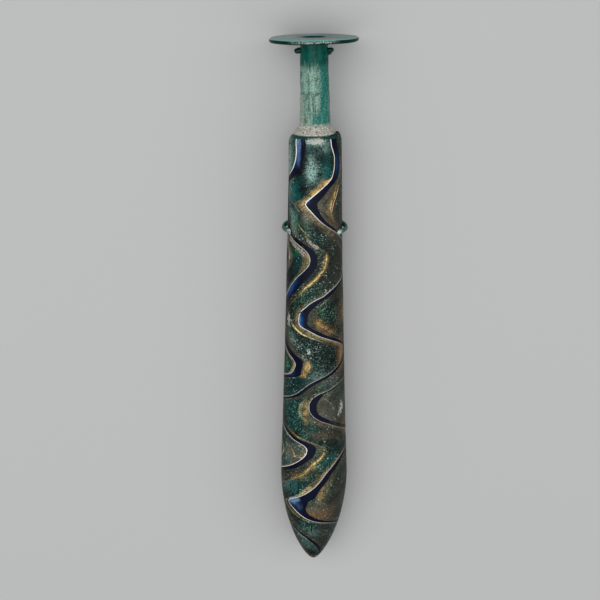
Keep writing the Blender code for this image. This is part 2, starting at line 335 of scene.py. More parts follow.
# Threads of white glass, each a wave of (height in mm, degrees from the front, to the right).
# Each has a dark blue band on its right, and a strip of clear glass with gold leaf on its left
# and beyond the blue. Where the photo doesn't reach, the waves go on in the same rhythm
threads = [
    {
        "path": [
            (165, -50), (163, -47), (160, -45), (157.5, -46.5), (155, -51.5), (153, -59), (151.5, -69),
            (150, -84), (146.5, -104), (138, -97), (131.5, -80), (129, -66), (127.5, -54), (125.3, -31),
            (124, -20), (122.5, -13), (120.8, -10.3), (119.2, -11.5), (117.7, -16.5), (116.3, -23.5),
            (115, -31), (113.2, -41.5), (111, -52.5), (107, -71), (104.5, -86), (100, -104), (92, -100),
            (87, -80), (85, -66), (83, -49.5), (82, -42.5), (80.6, -38.8), (79, -41.5), (77.5, -46.5),
            (76.5, -54), (75.8, -64), (75, -80), (73, -112), (69, -150), (62, -182), (55, -160),
            (50, -122), (46, -105), (41, -130), (36, -170), (30, -215), (22, -190), (14, -150), (0, -50),
        ],
        "navy": [
            (165, 25), (163, 26), (160, 22), (157, 21), (154, 22), (152, 26), (150, 26), (131, 18),
            (126, 21), (122, 15), (120.5, 14), (118.5, 18), (114, 22), (107, 23), (85, 21), (83, 24),
            (81, 17), (79, 16), (76, 25), (60, 14), (0, 14),
        ],
        "strip": [
            (165, 0), (150, 0), (140, 10), (128, 10), (125, 10), (123, 18), (121, 14), (119, 15),
            (117, 10), (115, 4), (105, 4), (95, 20), (86, 8), (84, 4), (76, 4), (70, 20), (0, 20),
        ],
        "gold": [
            (165, 26), (150, 26), (131, 26), (126, 36), (124, 40), (122, 36), (120.5, 34), (118.5, 35),
            (117, 38), (115.5, 39), (114, 42), (111, 40), (110, 37), (100, 38), (84, 40), (82, 30),
            (80.5, 30), (79, 28), (77.5, 25), (70, 36), (0, 36),
        ],
        "goldShine": [
            (165, 0), (130, 0), (124, 0.1), (122, 0.5), (120.5, 1), (111, 1), (109.5, 0.6), (107, 0.1),
            (86, 0), (82, 0.2), (80.5, 0.35), (79, 0.3), (77, 0.1), (75, 0), (60, 0.6), (0, 0.5),
        ],
        "stripShine": [
            (165, 0), (126, 0.1), (122, 0.3), (116, 0.3), (110, 0), (95, 0.6), (85, 0.1), (0, 0.4),
        ],
        "amberTone": [(165, 0), (150, 0), (128, 0.2), (122, 0.02), (112, 0), (90, 0.2), (80, 0.3), (0, 0.3)],
        "edgeShine": [(165, 0), (100, 0.1), (60, 0.5), (0, 0.3)],
        "whiteness": [
            (165, 1), (155, 1), (151, 0.7), (126, 0.7), (121, 0.9), (110, 0.8), (84, 0.9), (76, 0.8),
            (0, 0.7),
        ],
        "half": [
            (165, 0.34), (160, 0.42), (153, 0.36), (149, 0.24), (130, 0.24), (121, 0.2), (112, 0.2),
            (85, 0.2), (80, 0.22), (75, 0.2), (0, 0.22),
        ],
    },
    {
        "path": [
            (165, 37), (162.5, 36), (160, 41), (157.5, 45), (155, 45), (152.5, 42.5), (150.5, 38),
            (149, 30), (147.5, 19), (144.3, -3), (142.8, -13), (141.6, -19.5), (141, -20.8),
            (140.2, -18.5), (138.5, -9), (137, -1), (135, 10), (133.5, 20.5), (132, 33), (129, 60),
            (126, 82), (121, 97), (116, 88), (113, 73), (111.5, 57), (108.5, 29), (107, 17), (105.5, 0),
            (104, -12), (102.5, -20.5), (101.3, -27.5), (99.5, -32), (97.5, -33.5), (96, -30.5),
            (94.8, -21), (94, -11), (92, 9.5), (90, 36), (88, 60), (86.5, 70), (84.5, 73), (82.5, 67),
            (81, 59), (78, 34), (75.3, 4), (74, -8), (71, -26), (69.5, -35.5), (68.3, -47), (67.5, -58),
            (66.5, -76), (65, -94), (61, -108), (57.5, -96), (55.5, -75), (54, -63), (52.5, -50),
            (51.3, -38), (50.5, -27), (49.5, -17.5), (48.3, -13), (46.8, -14), (45.3, -18.5), (44, -25),
            (42.5, -34.5), (41, -46.5), (39, -68.5), (38, -81), (36, -102), (30, -128), (22, -110),
            (17, -80), (15, -65), (12.5, -40.5), (10.5, -20), (9, -8), (7, 8), (4, 25), (0, 40),
        ],
        "navy": [
            (165, 18), (158, 18), (150, 19), (147, 19), (144, 23), (141, 25), (139, 19), (136, 13),
            (131, 10), (112, 14), (104, 17), (98, 19), (94, 18), (90, 15), (84, 10), (76, 14), (70.5, 9),
            (67, 13), (53, 14), (51, 24), (50, 21), (48, 16), (44, 15), (40, 18), (11, 13), (0, 13),
        ],
        "strip": [
            (165, 2), (152, 2), (151, 4), (149, 18), (147, 15), (143, 13), (141, 25), (139, 26),
            (137, 28), (135, 32), (130, 30), (112, 10), (105, 14), (102, 15), (100, 12), (98, 15),
            (96, 18), (93, 28), (91, 23), (88.5, 26), (84.5, 18), (82, 10), (79, 2), (66, 3), (60, 16),
            (51, 3), (49, 8), (46, 9), (42, 8), (30, 20), (17, 4), (0, 4),
        ],
        "gold": [
            (165, 24), (150, 24), (147, 38), (145, 44), (143, 55), (141, 56), (139, 46), (136, 34),
            (130, 28), (112, 34), (101, 35), (98, 38), (95, 43), (90, 40), (80, 30), (56, 24), (53, 22),
            (51.5, 31), (44, 31), (42, 34), (41, 38), (40, 44), (38, 59), (36, 62), (30, 40), (0, 36),
        ],
        "goldShine": [
            (165, 0), (150, 0.15), (144, 0.9), (141, 0.9), (138, 0.3), (130, 0.05), (104, 0), (99, 0.05),
            (96, 0.1), (94, 0.05), (91, 0), (80, 0), (60, 0), (55, 0.1), (54, 0.3), (53.2, 1),
            (52.2, 0.3), (50, 0.15), (48.5, 0.2), (46.5, 0.7), (44, 1), (41, 1), (38, 0.4), (35, 0.1),
            (25, 0.3), (14, 0), (0, 0),
        ],
        "stripShine": [
            (165, 0.1), (152, 0.3), (150, 0.9), (143, 0.9), (141, 0.5), (136, 0.2), (130, 0.05), (104, 0.05),
            (100, 0.2), (95, 0.3), (90, 0.25), (84, 0.2), (80, 0), (60, 0.2), (49, 0.35), (43, 0.3),
            (38, 0.1), (0, 0.1),
        ],
        "amberTone": [
            (165, 0.1), (153, 0.2), (147, 0.32), (141, 0.45), (136, 0.38), (130, 0.3), (104, 0.1), (95, 0.25),
            (88, 0.3), (70, 0.2), (52, 0.3), (46, 0.22), (40, 0.06), (35, 0.05), (0, 0.2),
        ],
        "edgeShine": [
            (165, 0), (145, 0), (142, 0.1), (138, 0), (134, 0), (98, 0), (96, 0.6), (94, 1),
            (92.5, 1), (91, 0.35), (89.5, 0), (60, 0), (50, 0.1), (46, 0.1), (42, 0), (0, 0),
        ],
        "whiteness": [
            (165, 1), (145, 1), (139, 1), (134, 0.75), (129, 0.6), (112, 0.4), (105, 0.7), (99, 0.95),
            (93, 0.85), (88, 0.35), (78, 0.25), (70, 0.6), (67, 0.6), (54, 0.6), (50, 0.95), (44, 1),
            (40, 0.9), (15, 0.5), (11, 0.6), (8.5, 0.2), (6.5, 0), (0, 0),
        ],
        "half": [
            (165, 0.36), (158, 0.3), (150, 0.28), (146, 0.3), (141, 0.34), (137, 0.26), (131, 0.18),
            (106, 0.26), (98, 0.27), (90, 0.2), (84, 0.16), (74, 0.2), (67, 0.2), (51, 0.22), (48, 0.3),
            (42, 0.24), (12, 0.2), (9, 0.1), (7, -0.1), (0, -0.1),
        ],
    },
    {
        "path": [
            (165, 130), (156, 140), (147, 110), (140, 88), (133, 115), (121, 185), (112, 150), (104, 95),
            (99, 84), (93, 110), (85, 165), (79, 130), (75.5, 92), (74, 76), (73.2, 60), (72.3, 44),
            (71.2, 28), (70, 9), (68.8, -1), (67.3, -7), (65.5, -10), (64, -9.8), (62.3, -6), (60.8, 1),
            (59.5, 11), (58.3, 25), (56, 50), (54, 78), (52.5, 92), (50, 98), (47.5, 82), (46, 66),
            (44.5, 53), (41, 32.5), (38.5, 20.5), (36, 11.5), (33.8, 2.5), (31, -13), (29, -29),
            (27, -50), (25.8, -55), (25, -52), (24, -45.5), (21.3, -27), (20.2, -17), (19.3, -6),
            (18.7, 5), (17.7, 32), (15, 85), (10, 110), (0, 130),
        ],
        "navy": [
            (165, 14), (75, 10), (70.5, 10), (69, 14), (66, 15), (62, 14), (60, 18), (50, 14), (41, 12),
            (35, 13), (32, 16), (30, 25), (28, 34), (26, 42), (24, 30), (22, 22), (19, 24), (0, 14),
        ],
        "strip": [
            (165, 18), (100, 18), (75, 8), (72, 8), (69, 11), (67, 13), (65, 17), (61, 24), (58.5, 27),
            (54, 20), (48, 3), (37, 4), (35, 12), (31, 8), (27, 3), (25, 13), (22, 18), (18, 12), (0, 8),
        ],
        "gold": [
            (165, 36), (75, 30), (64, 35), (62, 28), (55, 30), (45, 25), (36, 22), (33, 29), (30, 40),
            (28, 51), (26, 60), (24, 40), (22, 31), (21, 40), (20, 50), (10, 36), (0, 36),
        ],
        "goldShine": [
            (165, 0.5), (80, 0.6), (74, 0), (45, 0), (36, 0.1), (33, 0.15), (28, 0.05),
            (26, 0), (22, 0.1), (21, 0.15), (20, 0.05), (15, 0), (0, 0),
        ],
        "stripShine": [
            (165, 0.5), (80, 0.5), (74, 0.05), (69, 0.05), (64, 0.1), (60, 0.1), (54, 0.1), (46, 0.6),
            (36, 0.8), (30, 0.7), (26, 0.2), (20, 0.05), (0, 0),
        ],
        "amberTone": [
            (165, 0.3), (75, 0.1), (66, 0.5), (61, 0.4), (55, 0.2), (45, 0.1), (36, 0.2), (28, 0.15),
            (22, 0.4), (19, 0.3), (0, 0.1),
        ],
        "edgeShine": [
            (165, 0.2), (75, 0), (68, 0.1), (66, 0.25), (62, 0.25), (60, 0.1), (57, 0), (40, 0.2),
            (34, 0.4), (28, 0.5), (25, 0.2), (0, 0),
        ],
        "whiteness": [
            (165, 0.8), (80, 0.6), (73, 0.35), (70, 0.5), (65, 0.6), (60, 0.35), (54, 0.2), (46, 0.25),
            (38, 0.45), (32, 0.5), (28, 0.8), (25, 0.9), (21, 0.8), (19, 0.4), (17, 0.2), (0, 0.2),
        ],
        "half": [
            (165, 0.22), (75, 0.16), (65, 0.22), (55, 0.16), (46, 0.16), (38, 0.26), (30, 0.26),
            (25, 0.3), (21, 0.28), (17, 0.18), (0, 0.15),
        ],
    },
    {
        "path": [
            (165, 220), (155, 226), (146, 180), (138, 186), (121, 268), (110, 215), (100, 170),
            (92, 190), (85, 237), (79, 228), (70, 125), (62, 108), (56, 124), (50, 172), (44, 150),
            (36, 118), (30, 108), (25.8, 104), (20, 116), (15, 150), (8, 190), (0, 220),
        ],
        "navy": [(165, 15), (120, 18), (80, 14), (40, 20), (0, 14)],
        "strip": [(165, 16), (120, 12), (80, 22), (40, 18), (0, 10)],
        "gold": [(165, 36), (120, 40), (80, 34), (40, 40), (0, 36)],
        "goldShine": [(165, 0.2), (146, 0.8), (132, 0), (112, 0), (90, 0.9), (60, 0.3), (30, 0.7), (0, 0)],
        "stripShine": [(165, 0.6), (130, 0.1), (100, 0.7), (70, 0.2), (45, 0.7), (0, 0)],
        "amberTone": [(165, 0.3), (120, 0.7), (85, 0.3), (50, 0.6), (0, 0.2)],
        "edgeShine": [(165, 0), (130, 0.6), (110, 0), (85, 0.7), (60, 0.1), (30, 0.5), (0, 0)],
        "whiteness": [(165, 0.9), (130, 0.6), (100, 0.9), (60, 0.5), (30, 0.8), (0, 0.3)],
        "half": [(165, 0.3), (120, 0.24), (70, 0.2), (30, 0.26), (0, 0.15)],
    },
]

# Soft patches on the vessel: (height mm, degrees, half height mm, half width degrees, strength)
patches = {
    "milk": [
        (154.6, -9, 4.0, 9, 1.0), (152, -7, 2.6, 11, 0.9), (163.9, -2, 1.5, 28, 0.95),
        (156, -74, 9, 15, 1.0), (90, -52, 4, 14, 0.35), (135, -56, 5, 14, 0.5), (148, 14, 3, 10, 0.3),
        (45, -50, 4, 14, 0.3), (9, -30, 5, 25, 0.2), (76, 6, 3, 14, 0.4), (148, 66, 9, 5, 0.3),
        (13.5, 0, 2, 25, 0.25), (34, -55, 4, 20, 0.15), (161, 20, 1.5, 12, 0.4),
    ],
    "green": [
        (134, -50, 4, 12, 0.7), (133, -24, 1.8, 8, 0.8), (123.5, -47, 1.6, 10, 1.0), (110, -8, 4, 16, 0.3),
        (101, 12, 2.5, 10, 0.5), (80, -66, 3, 9, 0.9), (73, 5, 1.2, 14, 0.6), (92, -55, 3, 10, 0.4),
        (44, 4, 2.5, 8, 0.3), (104, -30, 3, 14, 0.3), (60, -35, 6, 20, 0.1), (68, -12, 3, 14, 0.3),
    ],
    # brown: brownish grey patches, most of them on the right side, where they are painted shade that darkens
    # and browns that side; a few are brown staining
    "brown": [
        (128, 60, 14, 30, 0.75), (88, 70, 10, 22, 0.6), (62, 50, 8, 34, 0.8), (45, 70, 8, 22, 0.6),
        (24, 45, 8, 38, 0.75), (34, 48, 7, 26, 0.7), (10, 40, 7, 40, 0.55), (143, 76, 10, 18, 0.95),
        (104, 66, 7, 18, 0.7), (46, -40, 3, 12, 0.3), (54, 40, 3, 30, 0.5), (90, 30, 2.5, 14, 0.5),
        (113, 35, 6, 30, 0.5),
    ],
    "crust": [
        (97, -61, 3.2, 9, 0.9), (87, 3, 3, 10, 0.45), (79.5, 10, 3.2, 14, 0.3), (63.5, 60, 3.0, 10, 0.9),
        (61, 50, 1.2, 6, 0.6), (155, -76, 7, 10, 0.6), (128, -78, 6, 10, 0.65), (129, -54, 2.6, 9, 0.5),
        (163.9, -3, 1.5, 27, 0.85), (163.7, 10, 1.3, 16, 0.4), (129.5, -30, 1.6, 8, 0.5),
        (88, -30, 3, 14, 0.45), (115, 22, 2, 8, 0.5), (121, -65, 2.6, 2.5, 0.9), (150, 0, 7, 14, 0.2),
        (124, -26, 1.4, 6, 0.6), (99, 20, 1.5, 12, 0.35), (72, 20, 1.5, 16, 0.3), (37, 3, 1.5, 6, 0.4),
        (129, 25, 2, 14, 0.3), (109, 20, 1.2, 5, 0.7), (86, -11, 1.2, 5, 0.9), (14, 25, 1.5, 20, 0.35),
        (92.5, -36, 1.5, 8, 0.4),
    ],
    # cobalt: brighter blue in the navy bands near the threads, most of it on the lit left side: painted
    # light, partly the glass's own lighter blue
    "cobalt": [
        (98.5, -29, 3.4, 6, 1.0), (111, -58, 5, 18, 0.8), (160, -42, 4.5, 7, 1.0),
        (142, -16, 1.2, 5, 0.9), (26.4, -44, 1.8, 12, 0.6), (25, -24, 2.4, 12, 0.22),
        (154, 55, 5, 8, 0.4), (77, -50, 1.5, 12, 0.4), (28, -5, 3, 16, 0.15),
    ],
    # dark: dark patches; those at the tip's left edge and on the right side are painted shade, the others
    # darken the glass in patches
    "dark": [
        (8, -76, 7, 16, 1.0), (3, -62, 3, 30, 1.0), (84, 25, 4, 16, 0.5), (70, 55, 4, 20, 0.35),
        (37.5, -12, 2.5, 30, 0.2), (3, -20, 3, 30, 0.8), (56, 20, 3, 14, 0.3), (145, 66, 6, 10, 0.3),
        (139, 60, 5, 14, 0.3), (119, -45, 3, 12, 0.4), (69, -75, 4, 12, 0.3), (131, 8, 2.5, 14, 0.5),
        (87, -20, 4, 16, 0.2), (0, 0, 2.0, 180, 0.3),
    ],
    "teal": [
        (153, 26, 4, 9, 1.0), (145, -48, 4, 18, 1.0), (150, -72, 4, 16, 0.7), (162, -70, 3, 14, 0.6),
        (60, -62, 8, 22, 0.25), (34, -45, 5, 24, 0.6), (13, -25, 4, 22, 0.4), (46, -60, 4, 18, 0.35),
        (56, -5, 3, 18, 0.25), (140, -75, 5, 12, 0.6), (120, -42, 4, 12, 0.6), (78, -30, 3, 30, 0.3),
        (140, 180, 12, 50, 0.7), (95, 150, 10, 50, 0.5), (55, 200, 12, 50, 0.7), (20, 160, 8, 60, 0.5),
    ],
    "stone": [
        (62, 34, 5, 22, 0.6), (46, -38, 4, 16, 0.5), (137, 40, 5, 12, 0.25), (25, 15, 4, 22, 0.3),
        (136, -18, 2.5, 12, 0.8), (130, -50, 3, 12, 0.6), (74, 42, 4, 20, 0.4), (66, 60, 4, 20, 0.4),
    ],
    "glow": [
        (97.3, 8, 1.2, 6, 0.9), (95.2, 18, 0.9, 9, 0.8), (93.5, 30, 0.8, 10, 0.4), (81, -12, 1.6, 4, 0.9),
        (79, -17, 1.6, 5, 1.0), (77.2, -23, 0.9, 6, 0.7), (148, 19, 1.2, 9, 1.0),
        (145.5, -2, 1.1, 9, 0.7), (84, 62, 5, 6, 0.5), (129.5, -16, 0.9, 5, 0.5), (42, -2, 1.4, 5, 0.6),
        (37.5, -26, 1.3, 12, 0.5), (33, 8, 5, 4, 0.4), (62, -16, 3, 4, 0.5), (139, 30, 4, 4, 0.15),
        (100.5, 66, 4, 12, 0.3), (31, 14, 6, 5, 0.45), (36, 26, 4, 5, 0.3), (56, 66, 3, 14, 0.3),
        (64, -14, 2, 3, 0.4),
    ],
    # chip: light blue on chipped spots, most on the left: painted reflection of a bright light in the chips
    "chip": [
        (26.9, -44, 1.3, 8, 1.0), (28.0, -33, 0.8, 7, 0.9), (162.8, -40, 2.6, 7, 0.95),
        (157, -38, 4, 8, 0.4), (25, -28, 2.4, 12, 0.32), (142, -18, 0.6, 1.5, 0.5),
        (98.2, -31, 2.4, 2.2, 0.8),
    ],
    "rust": [
        (22.3, 8, 2.2, 26, 1.3), (54, 20, 1.5, 26, 0.6), (47, -45, 2, 10, 0.5), (62, -14, 4, 4, 0.5),
        (94, 25, 2, 20, 0.6), (84, 60, 5, 10, 1.0), (24, 35, 4, 12, 0.5), (132, 40, 4, 16, 0.4),
        (142, 45, 3, 8, 0.5), (100, 70, 6, 12, 0.5),
    ],
}

# Hair lines beside the threads, in white and in gold: runs of (height mm, degrees)
hairLines = {
    "white": [
        [(144, -76), (142.3, -66), (140.6, -52), (139.4, -43), (138.2, -36)],
        [(124.2, -64), (122, -66), (119.6, -65), (118.4, -60)],
        [(105.6, 25), (103.7, 12), (103.1, 2)], [(103.2, 25), (101.5, 13)],
        [(35.3, -78), (33.6, -66), (32.8, -58)],
        [(44, -78), (42.4, -70), (42.2, -62), (43.6, -56), (45.3, -58), (46, -66), (45, -74)],
        [(68, 20), (66, 32), (63.5, 38)],
    ],
    "gold": [
        [(49.2, -60), (48.0, -46), (46.6, -39), (45.3, -36)],
        [(45.2, -44), (44.8, -32), (44.9, -22)],
        [(133.4, -37), (132.2, -31), (131.0, -24), (130.4, -18)],
        [(147.4, 60), (143.5, 50), (141, 42), (138.3, 37)],
    ],
}

# Pale flakes of decayed glass: runs of (height mm, degrees)
flakes = [
    [(128, -15), (126.6, -7), (125.2, 4)],
    [(127.2, -63), (125.4, -46), (123.8, -32), (122.4, -23)],
]

# Where fine green and grey flecks crowd the glass
flecked = [
    (131, -25, 4, 30, 1.0), (124, 5, 6, 30, 0.9), (106, -10, 7, 35, 1.0), (98, 35, 7, 30, 0.6),
    (86, -12, 7, 28, 1.0), (80, 25, 5, 25, 0.7), (70, 30, 4, 26, 0.6), (44, 15, 8, 30, 0.8),
    (33, 0, 7, 30, 0.9), (24, 5, 4, 30, 0.5), (16, -20, 5, 40, 0.6), (150, -5, 12, 20, 0.5),
    (156, -70, 9, 14, 0.9), (62, -30, 7, 34, 0.6), (52, -10, 5, 30, 0.6),
    (120, 150, 20, 50, 0.7), (80, 180, 20, 60, 0.7), (40, 160, 14, 60, 0.7),
]

# Cracks and joins between fragments: runs of (height mm, degrees)
cracks = [
    [(51.5, 110), (50.4, 92), (49.6, 76), (48.6, 62), (47.9, 52), (47.2, 47)],
    [(154.0, -53), (153.2, -46), (152.2, -38), (151.6, -31)],
    [(100.4, -34), (100.9, -27), (101.3, -20)],
    [(17.5, -4), (15.8, -5), (14.2, -6)],
    [(45.3, 2), (44.0, 3), (43.2, 4)],
    [(47.6, 17), (47.0, 22)],
    [(34, -46), (32, -45)],
    [(148, 160), (120, 178), (96, 150), (92, 120)],
]


def nearFront(degrees):
    # The same angle, shifted by whole turns to within half a turn of 0
    return degrees - 360 * np.round(degrees / 360)


def patchField(spots, heights, degrees):
    # Sum of soft round patches, each exp(-(dh/a)^2 - (dw/b)^2)
    field = np.zeros(heights.shape)
    for height, angle, halfHeight, halfWidth, strength in spots:
        away = nearFront(degrees - angle)
        field += strength * np.exp(-((heights - height) / halfHeight) ** 2 - (away / halfWidth) ** 2)
    return np.clip(field, 0, 1)


def lineField(runs, heights, degrees, radius):
    # Distance in mm to the nearest of some runs of points, over the unrolled surface, up to 9
    nearest = np.full(heights.shape, 9.0)
    for run in runs:
        for (h0, a0), (h1, a1) in zip(run, run[1:]):
            across = np.radians(nearFront(degrees - a0)) * radius
            up = heights - h0
            runAcross = math.radians(a1 - a0) * radius
            runUp = h1 - h0
            along = np.clip((across * runAcross + up * runUp) / (runAcross ** 2 + runUp ** 2), 0, 1)
            gap = np.hypot(across - along * runAcross, up - along * runUp)
            nearest = np.minimum(nearest, gap)
    return nearest


def bandFields(heights, degrees, radius):
    # For each grid point: which two threads it lies between and how far across, and the widths of
    # the bands there. A row's threads are at rising angles, and the first comes again a turn on
    rowHeights = heights[:, 0]
    rowRadius = np.maximum(radius[:, 0], 0.3)
    angles = np.array([smoothThrough(thread["path"], rowHeights) for thread in threads])
    # Rows at one height are told apart by a ten millionth of a mm, so that none is divided by 0
    steepness = np.array([
        np.gradient(angle, rowHeights + np.arange(len(rowHeights)) * 1e-7) for angle in angles
    ])
    squeeze = 1 / np.sqrt(1 + (np.radians(steepness) * rowRadius) ** 2)
    angles = np.concatenate([angles, angles[:1] + 360])
    squeeze = np.concatenate([squeeze, squeeze[:1]])
    start = angles[0][:, None]
    around = start + np.mod(degrees - start, 360)
    strip = np.zeros(heights.shape, int)
    for k in range(1, len(threads)):
        strip += around >= angles[k][:, None]
    row = np.arange(heights.shape[0])[:, None]
    left = angles[strip, row]
    right = angles[strip + 1, row]
    share = (around - left) / (right - left)
    toMm = np.radians(1) * rowRadius[:, None]
    onRight = smoothStep(0.45, 0.55, share)
    squeezed = squeeze[strip, row] * (1 - onRight) + squeeze[strip + 1, row] * onRight

    def ofThread(key, which):
        table = np.array([smoothThrough(thread[key], rowHeights) for thread in threads])
        return table[which % len(threads), row]

    def ofNearest(key):
        return ofThread(key, strip) * (1 - onRight) + ofThread(key, strip + 1) * onRight

    return {
        "bandPlace": (strip + share, (right - left) * toMm, squeezed),
        "bandWidth": (
            ofThread("navy", strip) * toMm, ofThread("strip", strip + 1) * toMm,
            ofThread("gold", strip) * toMm,
        ),
        "bandShine": (
            ofNearest("half") * vessel["threadWidth"], ofThread("goldShine", strip),
            ofThread("stripShine", strip + 1),
        ),
        "bandTone": (
            ofThread("amberTone", strip), ofThread("edgeShine", strip + 1), ofNearest("whiteness"),
        ),
    }


def makeVessel():
    radius, height = vesselOutline()
    degrees = np.linspace(-180, 180, vessel["columns"], endpoint=False)
    heights, angles = np.meshgrid(height, degrees, indexing="ij")
    radii = np.repeat(radius[:, None], vessel["columns"], 1)
    outside = np.arange(len(height))[:, None] < 1 + vessel["sideRows"] + vessel["shoulderRows"]
    fields = bandFields(heights, angles, radii)
    unrolled = np.maximum(radii, 1)
    crack = lineField(cracks, heights, angles, unrolled)

    # Relief: a slow unevenness, a shallow groove at each crack, and a step at the join on the right
    turn = np.radians(angles)
    wobble = (
        np.sin(heights * 0.21 + 1.7 * np.sin(turn)) * np.cos(2 * turn + 0.06 * heights)
        + 0.6 * np.sin(0.11 * heights + 3 * turn)
    )
    fade = smoothStep(0, 12, heights) * smoothStep(0, 6, shoulderStart - heights)
    relief = vessel["wobble"] * wobble * fade
    relief -= vessel["grooveDepth"] * np.exp(-(crack / vessel["grooveWidth"]) ** 2)
    stepSide = np.exp(-(nearFront(angles - vessel["joinAngle"]) / vessel["joinSpread"]) ** 2)
    stepHere = vessel["joinStep"] * stepSide * smoothStep(*vessel["joinTop"], heights)
    relief += stepHere * smoothStep(*vessel["joinFoot"], heights)
    radii = radii + np.where(outside & (radii > 1.5), relief, 0)

    fromRise = (angles - vessel["lipRiseAngle"]) / vessel["lipRiseSpread"]
    rise = vessel["lipRise"] * np.exp(-fromRise ** 2)
    up = np.clip((heights - shoulderStart) / vessel["shoulderRound"], 0, 1)
    raised = heights + np.where(radii >= vessel["lipRadius"] - 0.1, rise * up, 0)
    points = np.stack([radii * np.sin(turn), -radii * np.cos(turn), raised], -1)
    laid = layDown(leanBy(points, rest["vesselLean"], 0))
    laid[0] = laid[0].mean(0)
    laid[-1] = laid[-1].mean(0)
    piece, corners, starts = gridPiece("vesselGlass", laid)

    # The thread number is unwrapped inside each face, so that a face across the seam stays smooth
    def atCorners(triple):
        return np.stack([np.broadcast_to(part, heights.shape).ravel()[corners] for part in triple], -1)

    sizes = np.diff(np.append(starts, len(corners)))
    face = np.repeat(np.arange(len(starts)), sizes)
    place = atCorners(fields["bandPlace"])
    lowest = np.minimum.reduceat(place[:, 0], starts)
    highest = np.maximum.reduceat(place[:, 0], starts)
    across = (highest - lowest > len(threads) / 2)[face]
    place[:, 0] += np.where(across & (place[:, 0] < len(threads) / 2), len(threads), 0)
    setCorners(piece, "bandPlace", place)

    unrolled = np.maximum(radii, 1)
    soft = {key: patchField(patches[key], heights, angles) for key in patches}
    hair = {key: lineField(hairLines[key], heights, angles, unrolled) for key in hairLines}
    dusk = smoothStep(*vessel["duskTop"], heights) * smoothStep(*vessel["duskFoot"], heights)
    tealness = vessel["duskGreen"] + (1 - vessel["duskGreen"]) * (1 - dusk)
    fromMiddle = np.abs(angles - vessel["lipGreenMiddle"])
    lip = smoothStep(*vessel["lipGreenFrom"], heights) * smoothStep(*vessel["lipGreenSides"], fromMiddle)
    for name, triple in {
        "bandWidth": fields["bandWidth"], "bandShine": fields["bandShine"], "bandTone": fields["bandTone"],
        "softPatch": (soft["milk"], soft["green"], soft["brown"]),
        "hardPatch": (soft["crust"], soft["cobalt"], soft["dark"]),
        "tint": (soft["teal"], soft["stone"], soft["glow"]),
        "mark": (soft["chip"], lineField(flakes, heights, angles, unrolled), soft["rust"]),
        "hairLine": (hair["white"], hair["gold"], tealness),
        "wear": (crack, lip * outside, patchField(flecked, heights, angles)),
    }.items():
        setCorners(piece, name, atCorners(triple))
    return piece


